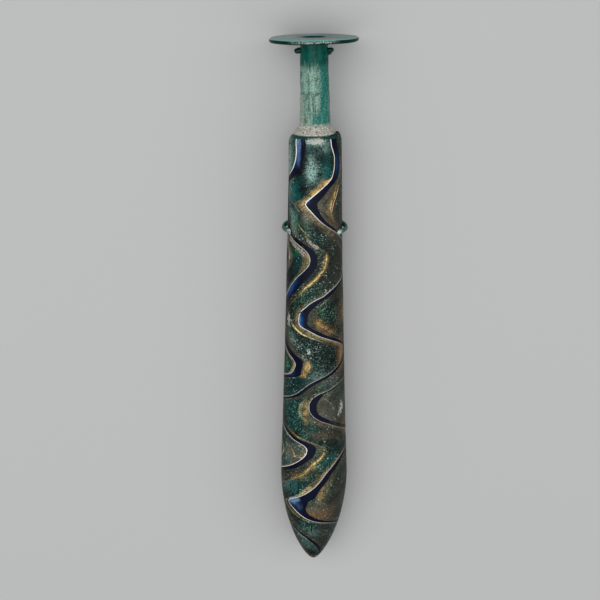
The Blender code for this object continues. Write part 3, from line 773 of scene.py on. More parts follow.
def bandedGlass():
    # Mosaic glass: sliced canes fused and drawn out in waves, then ground smooth. To the eye it is a
    # dark, slightly satin glass with crisp white threads and deep blue bands, and gold leaf that
    # shines through clear glass. Burial has pitted it and left a pale crust here and there
    look = {
        "black": "#0a1011", "teal": "#0e4744", "brightGreen": "#1c6e42", "milk": "#a0c4b8",
        # cobalt is the brighter blue of painted light on the navy bands, partly the glass's own blue
        "navy": "#050a20", "cobalt": "#16589e", "amber": "#857d66", "umber": "#22201c",
        "tan": "#8c7f60", "bark": "#2b2823", "gold": "#cfa34e", "goldLine": "#fbe3a2",
        # brown is the colour of painted shade on the right side, and of a few brown stains
        "goldLight": "#fff0c4", "glow": "#e0b25e", "brown": "#3b3a31", "sea": "#045552",
        "stone": "#6f6c64", "white": "#fbf9f2", "grey": "#8f9693", "crust": "#bcbdb4",
        # chip is the light blue of a painted reflection on chipped spots
        "dust": "#dcdbd2", "chip": "#7090b4", "flake": "#aaa295", "rust": "#7c5637",
        "hairRust": "#ecc48c", "pit": "#050807", "fleck": "#52796a", "lip": "#044a42",
        "mottle": 6.0, "cloud": 2.4, "grain": 0.7, "fine": 0.42, "pitSize": 1.3,  # mm
        "streaks": 6.0,  # streaks from one thread to the next
        "streakLength": 7.0,  # mm
        "shine": 0.04, "seeThrough": 0.08, "bump": 0.4, "bumpDepth": 0.1,  # depth in mm
    }
    material, tree, shader = newMaterial("weatheredMosaicGlass")
    value = {}
    for name, parts in {
        "bandPlace": "phase gap squeeze", "bandWidth": "navyWidth stripWidth goldWidth",
        "bandShine": "half goldShine stripShine", "bandTone": "amberTone edgeShine whiteness",
        "softPatch": "milk green brown", "hardPatch": "crust cobalt dark", "wear": "crack lip flecks",
        "tint": "tealPatch stone glow", "hairLine": "hairWhite hairGold tealness",
        "mark": "chip flake rust",
    }.items():
        read = addNode(tree, "ShaderNodeAttribute", {"attribute_name": name}).outputs["Vector"]
        split = addNode(tree, "ShaderNodeSeparateXYZ", None, {0: read})
        value.update(zip(parts.split(), split.outputs))
    where = addNode(tree, "ShaderNodeTexCoord").outputs["Object"]
    for name, detail in (("mottle", 5.0), ("cloud", 4.0), ("grain", 3.0), ("fine", 2.0)):
        links = {"Vector": where, "Scale": 1 / (look[name] * mm), "Detail": detail, "Roughness": 0.6}
        value[name] = addNode(tree, "ShaderNodeTexNoise", None, links).outputs[0]
    links = {"Vector": where, "Scale": 1 / (look["pitSize"] * mm)}
    value["cells"] = addNode(tree, "ShaderNodeTexVoronoi", None, links).outputs["Distance"]
    value["along"] = addNode(tree, "ShaderNodeSeparateXYZ", None, {0: where}).outputs[1]

    # Lengths are in mm, and shares from 0 to 1
    steps = (
        ("share", "FRACT", "phase"),
        ("past", "MULTIPLY", "share", "gap"),  # from the thread on the left
        ("short", "SUBTRACT", "gap", "past"),  # to the thread on the right
        ("streakU", "MULTIPLY", "phase", look["streaks"]),
        ("streakV", "MULTIPLY", "along", 1 / (look["streakLength"] * mm)),
        ("streak", "NOISE", "streakU", "streakV"),
        ("wander", "MULTIPLY_ADD", "cloud", 1.6, -0.8),
        ("fray", "MULTIPLY_ADD", "streak", 3.0, -1.5),
        ("roughEdge", "MULTIPLY_ADD", "cloud", 2.6, "fray"),
        ("nearer", "MINIMUM", "past", "short"),
        ("across", "MULTIPLY", "nearer", "squeeze"),
        ("ragged", "MULTIPLY_ADD", "grain", 0.14, "across"),
        ("threadGap", "SUBTRACT", "ragged", "half"),
        ("thread", "RANGE", "threadGap", 0.04, -0.08, 0, 1),
        ("navyGap", "SUBTRACT", "past", "navyWidth"),
        ("navyFray", "MULTIPLY_ADD", "wander", 0.4, "navyGap"),
        ("inNavy", "RANGE", "navyFray", 0.16, -0.16, 0, 1),
        ("navyShare", "DIVIDE", "past", "navyWidth"),
        # painted light: the cobalt patches brighten the navy beside the thread, mostly on the lit left side
        ("nearThread", "RANGE", "navyShare", 0.95, 0.35, 0, 1),
        ("cobaltAndLightCloud", "RANGE", "streak", 0.3, 0.6, 0.35, 1),
        ("inCobaltAndLight", "MULTIPLY", "cobalt", "nearThread", "cobaltAndLightCloud"),
        ("goldGap", "SUBTRACT", "past", "goldWidth"),
        ("amberFray", "ADD", "roughEdge", "goldGap"),
        ("amberEdge", "RANGE", "amberFray", 2.0, 0.4, 0, 1),
        ("amberThin", "RANGE", "mottle", 0.34, 0.5, 0.35, 0.95),
        ("inAmber", "MULTIPLY", "amberEdge", "amberThin"),
        ("amberCloud", "RANGE", "streak", 0.3, 0.7, 0.6, 1),
        ("amberLight", "MULTIPLY", "amberTone", "amberCloud"),
        ("goldFray", "MULTIPLY_ADD", "wander", 0.25, "goldGap"),
        ("goldOff", "ABSOLUTE", "goldFray"),
        ("goldCore", "RANGE", "goldOff", 0.45, 0.05, 0, 1),
        ("goldGlow", "RANGE", "goldOff", 1.6, 0.1, 0, 0.7),
        ("goldGrain", "RANGE", "fine", 0.36, 0.52, 0.35, 1),
        ("goldCloud", "RANGE", "cloud", 0.36, 0.5, 0.25, 1),
        ("goldBroken", "MULTIPLY", "goldGrain", "goldCloud"),
        ("goldStrength", "MULTIPLY", "goldShine", "goldBroken"),
        ("goldLine", "MULTIPLY", "goldCore", "goldStrength"),
        ("goldHalo", "MULTIPLY", "goldGlow", "goldStrength"),
        ("stripGap", "SUBTRACT", "short", "stripWidth"),
        ("stripFray", "ADD", "roughEdge", "stripGap"),
        ("stripEdge", "RANGE", "stripFray", 2.3, 0.3, 0, 1),
        ("stripShare", "DIVIDE", "short", "stripWidth"),
        ("stripCover", "MULTIPLY_ADD", "stripShine", 0.5, 0.4),
        ("stripThin", "RANGE", "fine", 0.36, 0.56, 0.6, 1),
        ("inStrip", "MULTIPLY", "stripEdge", "stripCover", "stripThin"),
        ("stripNear", "RANGE", "stripShare", 0.95, 0.1, 0, 1),
        ("stripClose", "RANGE", "stripShare", 0.55, 0.05, 0, 1),
        ("stripCloud", "RANGE", "streak", 0.34, 0.6, 0.25, 1),
        ("stripTone", "MULTIPLY", "stripCloud", "goldBroken"),
        ("stripFleck", "RANGE", "cloud", 0.36, 0.54, 0.35, 1),
        ("stripLight", "MULTIPLY", "stripNear", "stripShine", "stripCloud", "stripFleck"),
        ("hotGrain", "RANGE", "fine", 0.46, 0.56, 0.1, 1),
        ("stripHot", "MULTIPLY", "stripLight", "stripClose", "hotGrain"),
        ("edgeGap", "MULTIPLY_ADD", "wander", 0.5, "stripGap"),
        ("edgeOff", "ABSOLUTE", "edgeGap"),
        ("edgeCore", "RANGE", "edgeOff", 1.1, 0.05, 0, 1),
        ("edgeBroken", "MULTIPLY", "edgeShine", "goldBroken"),
        ("edgeLine", "MULTIPLY", "edgeCore", "edgeBroken"),
        ("tealMottle", "RANGE", "mottle", 0.38, 0.66, 0, 0.85),
        ("tealCloud", "MULTIPLY", "tealMottle", "tealness"),
        ("seaCloud", "RANGE", "cloud", 0.3, 0.6, 0.45, 1),
        ("inSea", "MULTIPLY", "tealPatch", "seaCloud"),
        ("stoneCloud", "RANGE", "mottle", 0.3, 0.6, 0.6, 1),
        ("inStone", "MULTIPLY", "stone", "stoneCloud"),
        ("glowGrain", "MULTIPLY_ADD", "fine", 0.5, "cloud"),
        ("glowCloud", "RANGE", "glowGrain", 0.6, 0.84, 0.1, 0.9),
        ("inGlow", "MULTIPLY", "glow", "glowCloud"),
        ("hairRagged", "MULTIPLY_ADD", "cloud", 0.3, "hairWhite"),
        ("inHair", "RANGE", "hairRagged", 0.36, 0.16, 0, 0.75),
        ("hairGoldRagged", "MULTIPLY_ADD", "cloud", 0.3, "hairGold"),
        ("inHairGold", "RANGE", "hairGoldRagged", 0.4, 0.18, 0, 0.9),
        ("greenGrain", "MULTIPLY_ADD", "fine", 0.6, "cloud"),
        ("greenCloud", "RANGE", "greenGrain", 0.64, 0.92, 0.05, 1),
        ("inGreen", "MULTIPLY", "green", "greenCloud"),
        ("fineGrain", "MULTIPLY_ADD", "fine", 0.8, "grain"),
        ("milkCloud", "RANGE", "fineGrain", 0.7, 1.02, 0.25, 1),
        ("inMilk", "MULTIPLY", "milk", "milkCloud"),
        ("fleckGrain", "RANGE", "fineGrain", 0.88, 1.06, 0, 1),
        ("fleckPlace", "RANGE", "cloud", 0.36, 0.56, 0.2, 1),
        ("inFleck", "MULTIPLY", "fleckGrain", "fleckPlace", "flecks"),
        # painted shade: the brown patches darken and brown the right side; a few are brown staining
        ("brownAndShadeCloud", "RANGE", "cloud", 0.3, 0.6, 0.6, 0.95),
        ("inBrownAndShade", "MULTIPLY", "brown", "brownAndShadeCloud"),
        # painted shade at the tip's left edge and on the right side, along with dark patches in the glass
        ("inDarkAndShade", "MULTIPLY", "dark", 0.85),
        ("shadow", "RANGE", "streak", 0.48, 0.3, 0, 0.55),
        ("blot", "RANGE", "cloud", 0.46, 0.34, 0, 0.85),
        ("dustPlace", "RANGE", "mottle", 0.43, 0.58, 0, 1),
        ("dustGrain", "RANGE", "fineGrain", 1.08, 1.16, 0, 0.95),
        ("dust", "MULTIPLY", "dustPlace", "dustGrain"),
        ("pitPlace", "RANGE", "cloud", 0.48, 0.6, 0, 0.85),
        ("pitDot", "RANGE", "cells", 0.22, 0.1, 0, 1),
        ("pit", "MULTIPLY", "pitDot", "pitPlace"),
        ("crustMix", "MULTIPLY_ADD", "fine", 0.9, "grain"),
        ("crustSum", "MULTIPLY_ADD", "crust", 0.6, "crustMix"),
        ("crustEdge", "RANGE", "crustSum", 1.27, 1.45, 0, 1),
        ("inCrust", "MULTIPLY", "crustEdge", 0.85),
        ("inCrack", "RANGE", "crack", 0.34, 0.1, 0, 0.95),
        # painted reflection: light blue where the chips catch the light
        ("chipGrain", "RANGE", "cloud", 0.3, 0.55, 0.35, 0.9),
        ("chipEdge", "RANGE", "chip", 0.15, 0.7, 0, 1),
        ("inChipAndReflection", "MULTIPLY", "chipEdge", "chipGrain"),
        ("flakeRagged", "MULTIPLY_ADD", "wander", 0.9, "flake"),
        ("flakeEdge", "RANGE", "flakeRagged", 0.8, 0.4, 0, 0.9),
        ("flakeGrain", "RANGE", "fineGrain", 0.7, 1.0, 0.25, 1),
        ("inFlake", "MULTIPLY", "flakeEdge", "flakeGrain"),
        ("rustCloud", "RANGE", "glowGrain", 0.52, 0.76, 0.35, 0.9),
        ("inRust", "MULTIPLY", "rust", "rustCloud"),
        ("navyBare", "RANGE", "inBrownAndShade", 0.3, 0.8, 1, 0.45),
        ("navyKept", "MULTIPLY", "inNavy", "navyBare"),
        ("speckDark", "RANGE", "fine", 0.47, 0.34, 0, 0.75),
        ("speckLight", "RANGE", "fine", 0.58, 0.7, 0, 0.3),
        ("scuff", "RANGE", "grain", 0.24, 0.45, 0.6, 1),
        ("inThread", "MULTIPLY", "thread", "scuff"),
        ("roughBare", "MULTIPLY_ADD", "grain", 0.3, 0.27),
        ("rough", "MULTIPLY_ADD", "inCrust", 0.3, "roughBare"),
        ("threadRelief", "MULTIPLY_ADD", "thread", 0.3, "grain"),
        ("pitRelief", "SUBTRACT", "threadRelief", "pit"),
        ("relief", "ADD", "pitRelief", "inCrust"),
    )
    addSteps(tree, value, steps)

    body = addLayers(tree, value, look, look["black"], (
        ("teal", "tealCloud"), ("sea", "inSea"), ("brightGreen", "inGreen"), ("milk", "inMilk"),
        ("pit", "blot"), ("umber", "amber", "amberLight", "inAmber"), ("gold", "goldHalo"),
        ("bark", "tan", "stripTone", "inStrip"), ("stone", "inStone"), ("gold", "stripLight"),
        ("goldLight", "stripHot"), ("rust", "inRust"), ("glow", "inGlow"), ("fleck", "inFleck"),
        ("goldLine", "edgeLine"), ("goldLine", "goldLine"), ("fleck", "speckLight"),
        # the brown layer is mostly painted shade on the right side
        # the cobalt layer over the navy is painted light, partly the glass's own lighter blue
        ("brown", "inBrownAndShade"), ("dust", "dust"), ("navy", "cobalt", "inCobaltAndLight", "navyKept"),
        # the chip layer is a painted reflection on chipped spots
        # the dark patches laid in the pit colour are partly painted shade
        ("pit", "inDarkAndShade"), ("pit", "shadow"), ("chip", "inChipAndReflection"), ("flake", "inFlake"),
        ("pit", "speckDark"), ("pit", "pit"), ("crust", "inHair"), ("hairRust", "inHairGold"),
        ("grey", "white", "whiteness", "inThread"), ("lip", "lip"), ("crust", "inCrust"),
        ("pit", "inCrack"),
    ))
    finishGlass(tree, shader, value, look, body, "relief")
    return material


vesselPiece = makeVessel()
vesselPiece.data.materials.append(bandedGlass())
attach(vesselPiece, "root")
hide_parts("vessel")
print("vessel made, triangles:", sum(len(p.vertices) - 2 for p in vesselPiece.data.polygons))


# Neck and rim: one turned piece of clear blue-green glass, clouded by burial

neck = {
    "gap": 0.3,  # between the vessel's lip and the collar's lowest point
    "spigotRadius": 6.4,
    "spigotLength": 3.5,
    "collarRadius": 7.65,
    "collarEdge": 0.4,
    "collarHeight": 3.1,
    "collarAside": 0.3,
    "length": 29.4,
    "footRadius": 5.55,
    "topRadius": 4.98,
    "boreRadius": 3.55,
    "rimRadius": 16.1,
    "rimThickness": 1.7,
    "fillet": 0.9,
    "funnelRadius": 4.2,
    "funnelDepth": 4.5,
    "columns": 144,
    "stepHeight": 13.2,  # a small step in the tube's side, above the foot
    "stepDepth": 0.14,
    "stepTop": (24, 15),
    "stepSides": (20, -60),  # degrees
    "ripple": (0.05, 0.04),  # the tube's unevenness
    "rimWave": (0.06, 0.04),
    "rimSink": 0.02,
}
neckFoot = vessel["length"] + neck["gap"] + neck["collarRadius"] * math.sin(rest["neckLean"])
collarTop = neck["collarEdge"] + neck["collarHeight"]
rimUnder = collarTop + neck["length"]
rimTop = rimUnder + neck["rimThickness"]


def neckOutline():
    # Closed half section: spigot, collar, tube, rim with a rounded edge, funnel and bore
    end = rimUnder - neck["fillet"]
    share = np.linspace(0, 1, 90)
    tube = neck["footRadius"] + (neck["topRadius"] - neck["footRadius"]) * share
    tubeHeight = collarTop + (end - collarTop) * share
    cone = np.linspace(0, 1, 12)[1:-1]
    coneRadius = neck["collarRadius"] + (neck["footRadius"] - neck["collarRadius"]) * cone ** 0.9
    coneHeight = neck["collarEdge"] + neck["collarHeight"] * cone
    turn = np.linspace(0, math.pi / 2, 6)[1:]
    filletRadius = neck["topRadius"] + neck["fillet"] * (1 - np.cos(turn))
    filletHeight = end + neck["fillet"] * np.sin(turn)
    under = np.linspace(neck["topRadius"] + neck["fillet"] + 0.6, neck["rimRadius"] - 0.9, 14)
    half = neck["rimThickness"] / 2
    edge = np.linspace(-math.pi / 2, math.pi / 2, 13)
    edgeRadius = neck["rimRadius"] - half + half * np.cos(edge)
    edgeHeight = rimUnder + half + half * np.sin(edge)
    top = np.linspace(neck["rimRadius"] - 1.2, neck["funnelRadius"] + 0.35, 20)
    drop = np.linspace(0, 1, 12)
    funnel = neck["boreRadius"] + (neck["funnelRadius"] - neck["boreRadius"]) * (1 - drop) ** 2
    funnelHeight = rimTop - neck["funnelDepth"] * drop
    bore = np.linspace(rimTop - neck["funnelDepth"] - 1, -neck["spigotLength"], 16)
    parts = [
        ([neck["spigotRadius"]] * 2, [-neck["spigotLength"], 0.0]),
        ([neck["collarRadius"]] * 2, [0.0, neck["collarEdge"]]),
        (coneRadius, coneHeight), (tube, tubeHeight), (filletRadius, filletHeight),
        (under, np.full(len(under), rimUnder)), (edgeRadius, edgeHeight),
        (top, np.full(len(top), rimTop)), (funnel, funnelHeight),
        (np.full(len(bore), neck["boreRadius"]), bore),
    ]
    return np.concatenate([p[0] for p in parts]), np.concatenate([p[1] for p in parts])


def neckToWorld(points):
    # Neck millimetres, up from the collar's foot, to world metres
    raised = points.copy()
    raised[..., 2] += neckFoot
    placed = leanBy(raised, -rest["neckLean"], neckFoot)
    aside = np.array([lean * neckFoot, 0, 0])
    return layDown(placed + aside)


def makeNeck():
    radius, height = neckOutline()
    degrees = np.linspace(-180, 180, neck["columns"], endpoint=False)
    heights, angles = np.meshgrid(height, degrees, indexing="ij")
    radii = np.repeat(radius[:, None], neck["columns"], 1)
    turn = np.radians(angles)

    # The tube ripples slowly round and up, and a small step runs across its left side
    onTube = (radii > neck["topRadius"] - 0.2) & (radii < neck["footRadius"] + 0.05)
    onTube &= heights > collarTop - 0.1
    byHeight, byTurn = neck["ripple"]
    ripple = byHeight * np.sin(0.9 * heights + 2 * turn) + byTurn * np.sin(3 * turn + 0.3 * heights)
    stepIn = -neck["stepDepth"] * smoothStep(neck["stepHeight"] - 0.4, neck["stepHeight"] + 0.4, heights)
    stepIn *= smoothStep(*neck["stepTop"], heights) * smoothStep(*neck["stepSides"], angles)
    radii = radii + np.where(onTube, ripple + stepIn, 0)
    points = np.stack([radii * np.sin(turn), -radii * np.cos(turn), heights], -1)

    # The collar's foot is a little to the left of the tube
    onCollar = (radii > neck["spigotRadius"] + 0.1) & (heights >= 0) & (heights < collarTop)
    share = np.clip(1 - heights / collarTop, 0, 1)
    points[..., 0] -= np.where(onCollar, neck["collarAside"] * share, 0)

    # The rim waves more the farther out it is
    slow, quick = neck["rimWave"]
    wave = slow * np.sin(2 * turn + 0.5) + quick * np.sin(5 * turn) - neck["rimSink"]
    onRim = np.clip((radii - 7) / 9, 0, 1) * (heights > rimUnder - 0.2)
    points[..., 2] += wave * onRim
    piece, corners, _ = gridPiece("neckGlass", neckToWorld(points), poles=False, closedRows=True)
    place = np.stack([heights.ravel(), np.sin(turn).ravel(), radii.ravel()], -1)
    setCorners(piece, "neckPlace", place[corners])
    facing = np.stack([np.cos(turn).ravel()] * 3, -1)
    setCorners(piece, "neckFacing", facing[corners])
    return piece


def knobPiece(name, side, drop, reach, halfHeight):
    # A stub of glass: an ellipsoid pulled out of the neck's side, its girth sin(polar)^fullness,
    # so that it is squarer than a ball
    knob = {
        "halfWidth": 1.2, "embed": 1.3, "fullness": 0.8,
        "wave": 0.12, "waveRate": 2.2,  # unevenness along it
        "rows": 18, "columns": 28,
    }
    polar = np.linspace(0, math.pi, knob["rows"])[:, None]
    turn = np.linspace(0, 2 * math.pi, knob["columns"], endpoint=False)[None, :]
    inner = neck["topRadius"] - knob["embed"]
    half = (neck["topRadius"] + reach - inner) / 2
    along = np.cos(polar) * np.ones_like(turn)
    girth = np.sin(polar) ** knob["fullness"]
    points = np.stack([
        side * (inner + half) - side * half * along,
        side * knob["halfWidth"] * girth * np.cos(turn),
        rimUnder - drop + halfHeight * girth * np.sin(turn),
    ], -1)
    points[..., 2] += knob["wave"] * np.sin(knob["waveRate"] * points[..., 0])
    return gridPiece(name, neckToWorld(points))[0]


def lugPiece(name, side, front):
    # A bent rod: circles carried along a bowed path round the vessel, from its front end to its back
    lug = {
        "height": 131.0, "rise": 2.4, "reach": 2.3, "rod": 0.85, "span": 46.0, "embed": 0.9,
        "swelling": 0.18,  # of the rod towards its ends
        "wave": 0.12, "waveRate": 9,  # unevenness along it
        "pale": 0.22,  # share of the rod, from its front end, that turns pale white
        "rows": 60, "columns": 24,
    }
    share = np.linspace(0, 1, lug["rows"])
    height = lug["height"] + lug["rise"] * (share - 0.5)
    bow = np.sin(math.pi * share) ** 0.8
    out = sideRadius(height) + (lug["reach"] - lug["rod"] + lug["embed"]) * bow - lug["embed"]
    turn = np.radians(side * (front + lug["span"] * share))
    path = np.stack([out * np.sin(turn), -out * np.cos(turn), height], -1)
    path[:, 2] += lug["wave"] * np.sin(lug["waveRate"] * share)
    ahead = np.gradient(path, axis=0)
    ahead /= np.linalg.norm(ahead, axis=1, keepdims=True)
    across = np.cross(ahead, [0, 0, 1.0])
    across /= np.linalg.norm(across, axis=1, keepdims=True)
    upward = np.cross(across, ahead)
    ring = np.linspace(0, 2 * math.pi, lug["columns"], endpoint=False)
    thick = lug["rod"] * (1 + lug["swelling"] * np.cos(2 * math.pi * share))
    thick[0] = thick[-1] = 0
    ring = ring[None, :, None]
    circle = across[:, None] * np.cos(ring) - upward[:, None] * np.sin(ring)
    points = path[:, None] + circle * thick[:, None, None]
    piece, corners, _ = gridPiece(name, layDown(leanBy(points, rest["vesselLean"], 0)))
    paleEnd = smoothStep(lug["pale"], 0.0, share)[:, None] * np.ones(lug["columns"])
    setCorners(piece, "paleEnd", np.repeat(paleEnd.ravel()[corners][:, None], 3, 1))
    return piece


def cloudedGlass():
    # Blue-green soda glass, worked hot and left with a fire-smooth skin. Thick clear glass reads as
    # a deep green-blue under the rim. Lower down burial has clouded the skin, first in patches and
    # then in streaks along the tube, and a pinkish earth clings to the collar
    look = {
        "deep": "#002e28", "teal": "#005c4e", "streakTeal": "#006e62", "milk": "#98bbaa",
        "pale": "#a5b3a4", "glint": "#c3d2c9", "dustDark": "#3a3c36", "dust": "#c0b6ab",
        # the lighter rim colour is painted light on the left of the rim's top
        "dustPale": "#f2efe8", "dark": "#04251f", "rim": "#587a74", "rimLight": "#7d9d97",
        # ring is the colour of a painted highlight line along the rim's top edge
        "ring": "#74b3a6", "pit": "#0a1f1b", "bore": "#02120f",
        "streakWide": 1.0, "streakLong": 9.0, "cloud": 2.6, "grain": 0.7, "fine": 0.42,  # mm
        "shine": 0.03, "seeThrough": 0.12, "bump": 0.25, "bumpDepth": 0.1,  # depth in mm
    }
    material, tree, shader = newMaterial("cloudedBlueGreenGlass")
    read = addNode(tree, "ShaderNodeAttribute", {"attribute_name": "neckPlace"}).outputs["Vector"]
    place = addNode(tree, "ShaderNodeSeparateXYZ", None, {0: read}).outputs
    value = dict(zip(("height", "sideways", "radius"), place))
    value["facing"] = addNode(tree, "ShaderNodeAttribute", {"attribute_name": "neckFacing"}).outputs["Fac"]
    where = addNode(tree, "ShaderNodeTexCoord").outputs["Object"]
    wide = 1 / (look["streakWide"] * mm)
    scale = (wide, 1 / (look["streakLong"] * mm), wide)
    stretched = addNode(tree, "ShaderNodeMapping", None, {"Vector": where, "Scale": scale}).outputs[0]
    for name, vector, size, detail in (
        ("streak", stretched, 1.0, 4.0), ("cloud", where, 1 / (look["cloud"] * mm), 5.0),
        ("grain", where, 1 / (look["grain"] * mm), 3.0), ("fine", where, 1 / (look["fine"] * mm), 2.0),
    ):
        links = {"Vector": vector, "Scale": size, "Detail": detail, "Roughness": 0.6}
        value[name] = addNode(tree, "ShaderNodeTexNoise", None, links).outputs[0]
    steps = (
        ("tealCloud", "RANGE", "cloud", 0.3, 0.62, 0, 0.8),
        ("top", "MULTIPLY_ADD", "streak", 9.0, "height"),
        ("belowTop", "RANGE", "top", 30.8, 27.0, 0, 1),
        ("patchMix", "MULTIPLY_ADD", "streak", 1.2, "cloud"),
        ("patch", "RANGE", "patchMix", 0.9, 1.26, 0.35, 0.9),
        ("patchGrain", "RANGE", "fine", 0.32, 0.6, 0.6, 1),
        ("toRight", "MULTIPLY_ADD", "streak", 0.9, "sideways"),
        ("notRight", "RANGE", "toRight", 1.06, 0.64, 0.1, 1),
        ("clearRight", "RANGE", "toRight", 0.7, 1.0, 0, 0.85),
        ("inClear", "MULTIPLY", "clearRight", "belowTop"),
        ("milkThin", "RANGE", "height", 14.0, 16.5, 0.62, 1),
        ("inMilk", "MULTIPLY", "patch", "patchGrain", "belowTop", "milkThin", "notRight"),
        ("lowStreak", "MULTIPLY_ADD", "streak", 3.0, "height"),
        ("low", "MULTIPLY_ADD", "cloud", 1.6, "lowStreak"),
        ("lower", "RANGE", "low", 17.4, 16.4, 0, 1),
        ("streakPale", "RANGE", "streak", 0.5, 0.64, 0.0, 0.7),
        ("sides", "RANGE", "facing", 0.88, 0.5, 0, 0.75),
        ("paler", "MAXIMUM", "streakPale", "sides"),
        ("toLeft", "RANGE", "sideways", 0.6, -0.2, 0.3, 1),
        ("inPale", "MULTIPLY", "paler", "toLeft", "lower"),
        ("toRightSide", "RANGE", "sideways", -0.6, 0.4, 0.15, 1),
        ("deepStreak", "RANGE", "streak", 0.58, 0.44, 0, 0.85),
        ("notEdge", "RANGE", "facing", 0.3, 0.6, 0.6, 1),
        ("inStreakTeal", "MULTIPLY", "deepStreak", "toRightSide", "lower", "notEdge"),
        ("speckGrain", "RANGE", "fine", 0.47, 0.34, 0, 0.6),
        ("blotGrain", "RANGE", "grain", 0.38, 0.28, 0, 0.7),
        ("speckAll", "MAXIMUM", "speckGrain", "blotGrain"),
        ("glintGrain", "RANGE", "fine", 0.58, 0.7, 0, 0.45),
        ("inGlint", "MULTIPLY", "glintGrain", "belowTop"),
        # painted highlight: a light line along the rim's top outer edge
        ("ringIn", "RANGE", "radius", 15.1, 15.4, 0, 0.85),
        ("ringHeight", "RANGE", "height", rimTop - 0.5, rimTop - 0.25, 0, 1),
        ("inRimEdgeHighlight", "MULTIPLY", "ringIn", "ringHeight"),
        ("inBore", "RANGE", "radius", 4.3, 3.9, 0, 0.9),
        ("inSpeck", "MULTIPLY", "speckAll", "belowTop"),
        ("collar", "RANGE", "height", 4.6, 2.6, 0, 1),
        ("dustGrain", "RANGE", "grain", 0.34, 0.56, 0.15, 0.95),
        ("inDust", "MULTIPLY", "collar", "dustGrain"),
        ("dustPale", "RANGE", "fine", 0.54, 0.68, 0, 0.7),
        ("inDustPale", "MULTIPLY", "collar", "dustPale"),
        ("dustDark", "RANGE", "fine", 0.44, 0.34, 0, 0.6),
        ("inDustDark", "MULTIPLY", "collar", "dustDark"),
        ("line", "SUBTRACT", "low", 16.9),
        ("lineOff", "ABSOLUTE", "line"),
        ("lineCore", "RANGE", "lineOff", 0.35, 0.05, 0, 0.55),
        ("lineLeft", "RANGE", "sideways", 0.17, -0.77, 0, 1),
        ("inLine", "MULTIPLY", "lineCore", "lineLeft"),
        ("onRim", "RANGE", "radius", 5.8, 7.0, 0, 1),
        ("rimHeight", "RANGE", "height", rimUnder - 1.0, rimUnder - 0.5, 0, 0.95),
        ("inRim", "MULTIPLY", "onRim", "rimHeight"),
        ("topHeight", "RANGE", "height", rimTop - 0.45, rimTop - 0.1, 0, 1),
        ("topGrain", "RANGE", "grain", 0.3, 0.6, 0.65, 0.95),
        # painted light: the rim's top is lighter towards the left, the side the light comes from
        ("paintedLightLeft", "RANGE", "sideways", 0.8, -0.9, 0, 0.8),
        # painted highlights: broken light streaks on the front of the rim's edge, in the glint colour
        ("highlightFront", "RANGE", "facing", 0.8, 0.98, 0, 1),
        ("highlightGrain", "RANGE", "fine", 0.46, 0.58, 0, 0.8),
        ("highlightHeight", "RANGE", "height", rimUnder + 0.2, rimUnder + 0.7, 0, 1),
        ("inRimHighlight", "MULTIPLY", "highlightFront", "highlightGrain", "highlightHeight", "onRim"),
        ("inTop", "MULTIPLY", "topHeight", "topGrain", "onRim"),
        ("roughMilk", "MULTIPLY_ADD", "inMilk", 0.25, 0.2),
        ("rough", "MULTIPLY_ADD", "inDust", 0.3, "roughMilk"),
    )
    addSteps(tree, value, steps)
    body = addLayers(tree, value, look, look["deep"], (
        ("teal", "tealCloud"), ("streakTeal", "inClear"), ("milk", "inMilk"), ("pale", "inPale"),
        ("streakTeal", "inStreakTeal"), ("pit", "inSpeck"), ("glint", "inGlint"), ("dark", "inLine"),
        ("dust", "inDust"), ("dustDark", "inDustDark"), ("dustPale", "inDustPale"),
        # the glint layer here is painted highlights on the rim's front edge
        # the rim's top is mixed towards its lighter colour on the left: painted light
        ("dark", "inRim"), ("glint", "inRimHighlight"), ("rim", "rimLight", "paintedLightLeft", "inTop"),
        # the ring layer is a painted highlight on the rim's top edge
        ("ring", "inRimEdgeHighlight"), ("bore", "inBore"),
    ))
    finishGlass(tree, shader, value, look, body, "grain")
    return material


def clearGlass(name, colour, shine):
    # The same glass in the knobs and lugs, clear and fire-smooth: bright glints on a dark
    # blue-green, and a pale white at a lug's front end, where it joins the wall. Only a lug has a paleEnd
    # attribute
    look = {"pale": "#d6e2dc", "grain": 0.7, "rough": 0.1, "seeThrough": 0.15}  # grain in mm
    material, tree, shader = newMaterial(name)
    where = addNode(tree, "ShaderNodeTexCoord").outputs["Object"]
    links = {"Vector": where, "Scale": 1 / (look["grain"] * mm), "Detail": 3.0}
    value = {
        "paleEnd": addNode(tree, "ShaderNodeAttribute", {"attribute_name": "paleEnd"}).outputs["Fac"],
        "grain": addNode(tree, "ShaderNodeTexNoise", None, links).outputs[0],
    }
    addSteps(tree, value, (
        ("paleGrain", "RANGE", "grain", 0.4, 0.55, 0.1, 0.95),
        ("inPale", "MULTIPLY", "paleGrain", "paleEnd"),
    ))
    body = addLayers(tree, value, look, colour, (("pale", "inPale"),))
    tree.links.new(body, shader.inputs["Base Color"])
    shader.inputs["Roughness"].default_value = look["rough"]
    shader.inputs["IOR"].default_value = refraction
    shader.inputs["Specular IOR Level"].default_value = shine
    shader.inputs["Transmission Weight"].default_value = look["seeThrough"]
    return material


neckPiece = makeNeck()
neckPiece.data.materials.append(cloudedGlass())
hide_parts("neck_and_rim")
knobs = [
    knobPiece("knobLeft", side=-1, drop=3.1, reach=2.15, halfHeight=1.1),
    knobPiece("knobRight", side=1, drop=3.1, reach=2.15, halfHeight=1.0),
    knobPiece("knobRightLower", side=1, drop=4.0, reach=1.4, halfHeight=0.8),
]
lugs = [
    lugPiece("lugRight", side=1, front=58.0),
    lugPiece("lugLeft", side=-1, front=64.0),
]
knobGlass = clearGlass("darkBlueGreenGlass", colour="#03342d", shine=0.12)
lugGlass = clearGlass("clearBlueGreenGlass", colour="#074c42", shine=0.8)
for piece in knobs:
    piece.data.materials.append(knobGlass)
for piece in lugs:
    piece.data.materials.append(lugGlass)
for piece in [neckPiece] + knobs + lugs:
    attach(piece, "root")
print("neck, knobs and lugs made")


# Floor, light and camera

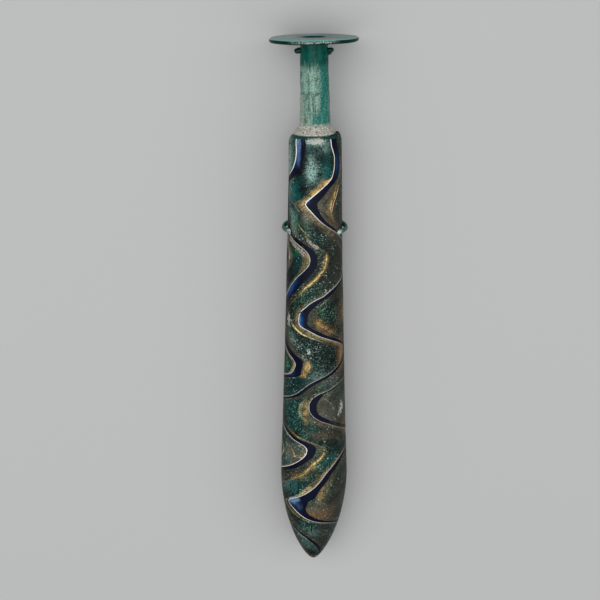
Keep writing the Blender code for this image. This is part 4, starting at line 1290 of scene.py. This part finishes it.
stage = {
    "floorSize": 3.0,  # m
    "floorColour": "#b2b2b1",
    "world": "#dfe3e6",
    "worldStrength": 0.45,
    "focal": 90.0,  # mm
    "sensor": 36.0,  # mm
    "clipStart": 0.01,  # m
    "pitch": 14.3,  # degrees down on the upright flask
    "distance": 541.6,  # mm from the flask's axis
    "above": 241.2,  # mm above its tip
    "aside": -5.2,  # mm, which sets the flask a little right of the picture's middle
}
lights = [
    {"name": "keyLight", "place": (-0.3, 0.1, 0.95), "size": 1.2, "power": 7.7},  # m and W
    {"name": "fillLight", "place": (0.6, 0.0, 0.8), "size": 1.2, "power": 4.0},
]


def makeFloor():
    size = stage["floorSize"] / 2
    mesh = bpy.data.meshes.new("floor")
    corners = [(-size, -size, 0), (size, -size, 0), (size, size, 0), (-size, size, 0)]
    mesh.from_pydata(corners, [], [(0, 1, 2, 3)])
    floor = bpy.data.objects.new("floor", mesh)
    bpy.context.scene.collection.objects.link(floor)
    material, _, shader = newMaterial("paleFloor")
    shader.inputs["Base Color"].default_value = linear(stage["floorColour"])
    shader.inputs["Roughness"].default_value = 0.9
    mesh.materials.append(material)


def areaLight(name, place, size, power):
    light = bpy.data.lights.new(name, "AREA")
    light.shape = "DISK"
    light.size = size
    light.energy = power
    lamp = bpy.data.objects.new(name, light)
    lamp.location = place
    aim = -lamp.location
    lamp.rotation_euler = aim.to_track_quat("-Z", "Y").to_euler()
    bpy.context.scene.collection.objects.link(lamp)


def makeCamera():
    camera = bpy.data.objects.new("camera", bpy.data.cameras.new("camera"))
    camera.data.lens = stage["focal"]
    camera.data.sensor_width = stage["sensor"]
    camera.data.clip_start = stage["clipStart"]
    camera.location = turnDown(np.array([stage["aside"], -stage["distance"], stage["above"]])) * mm
    camera.rotation_euler = (rest["tilt"] - math.radians(stage["pitch"]), 0, 0)
    bpy.context.scene.collection.objects.link(camera)
    bpy.context.scene.camera = camera


makeFloor()
for light in lights:
    areaLight(**light)
world = bpy.data.worlds.new("studio")
bpy.context.scene.world = world
world.use_nodes = True
world.node_tree.nodes["Background"].inputs["Color"].default_value = linear(stage["world"])
world.node_tree.nodes["Background"].inputs["Strength"].default_value = stage["worldStrength"]
makeCamera()
bpy.context.scene.view_settings.view_transform = "Standard"
print("stage set")
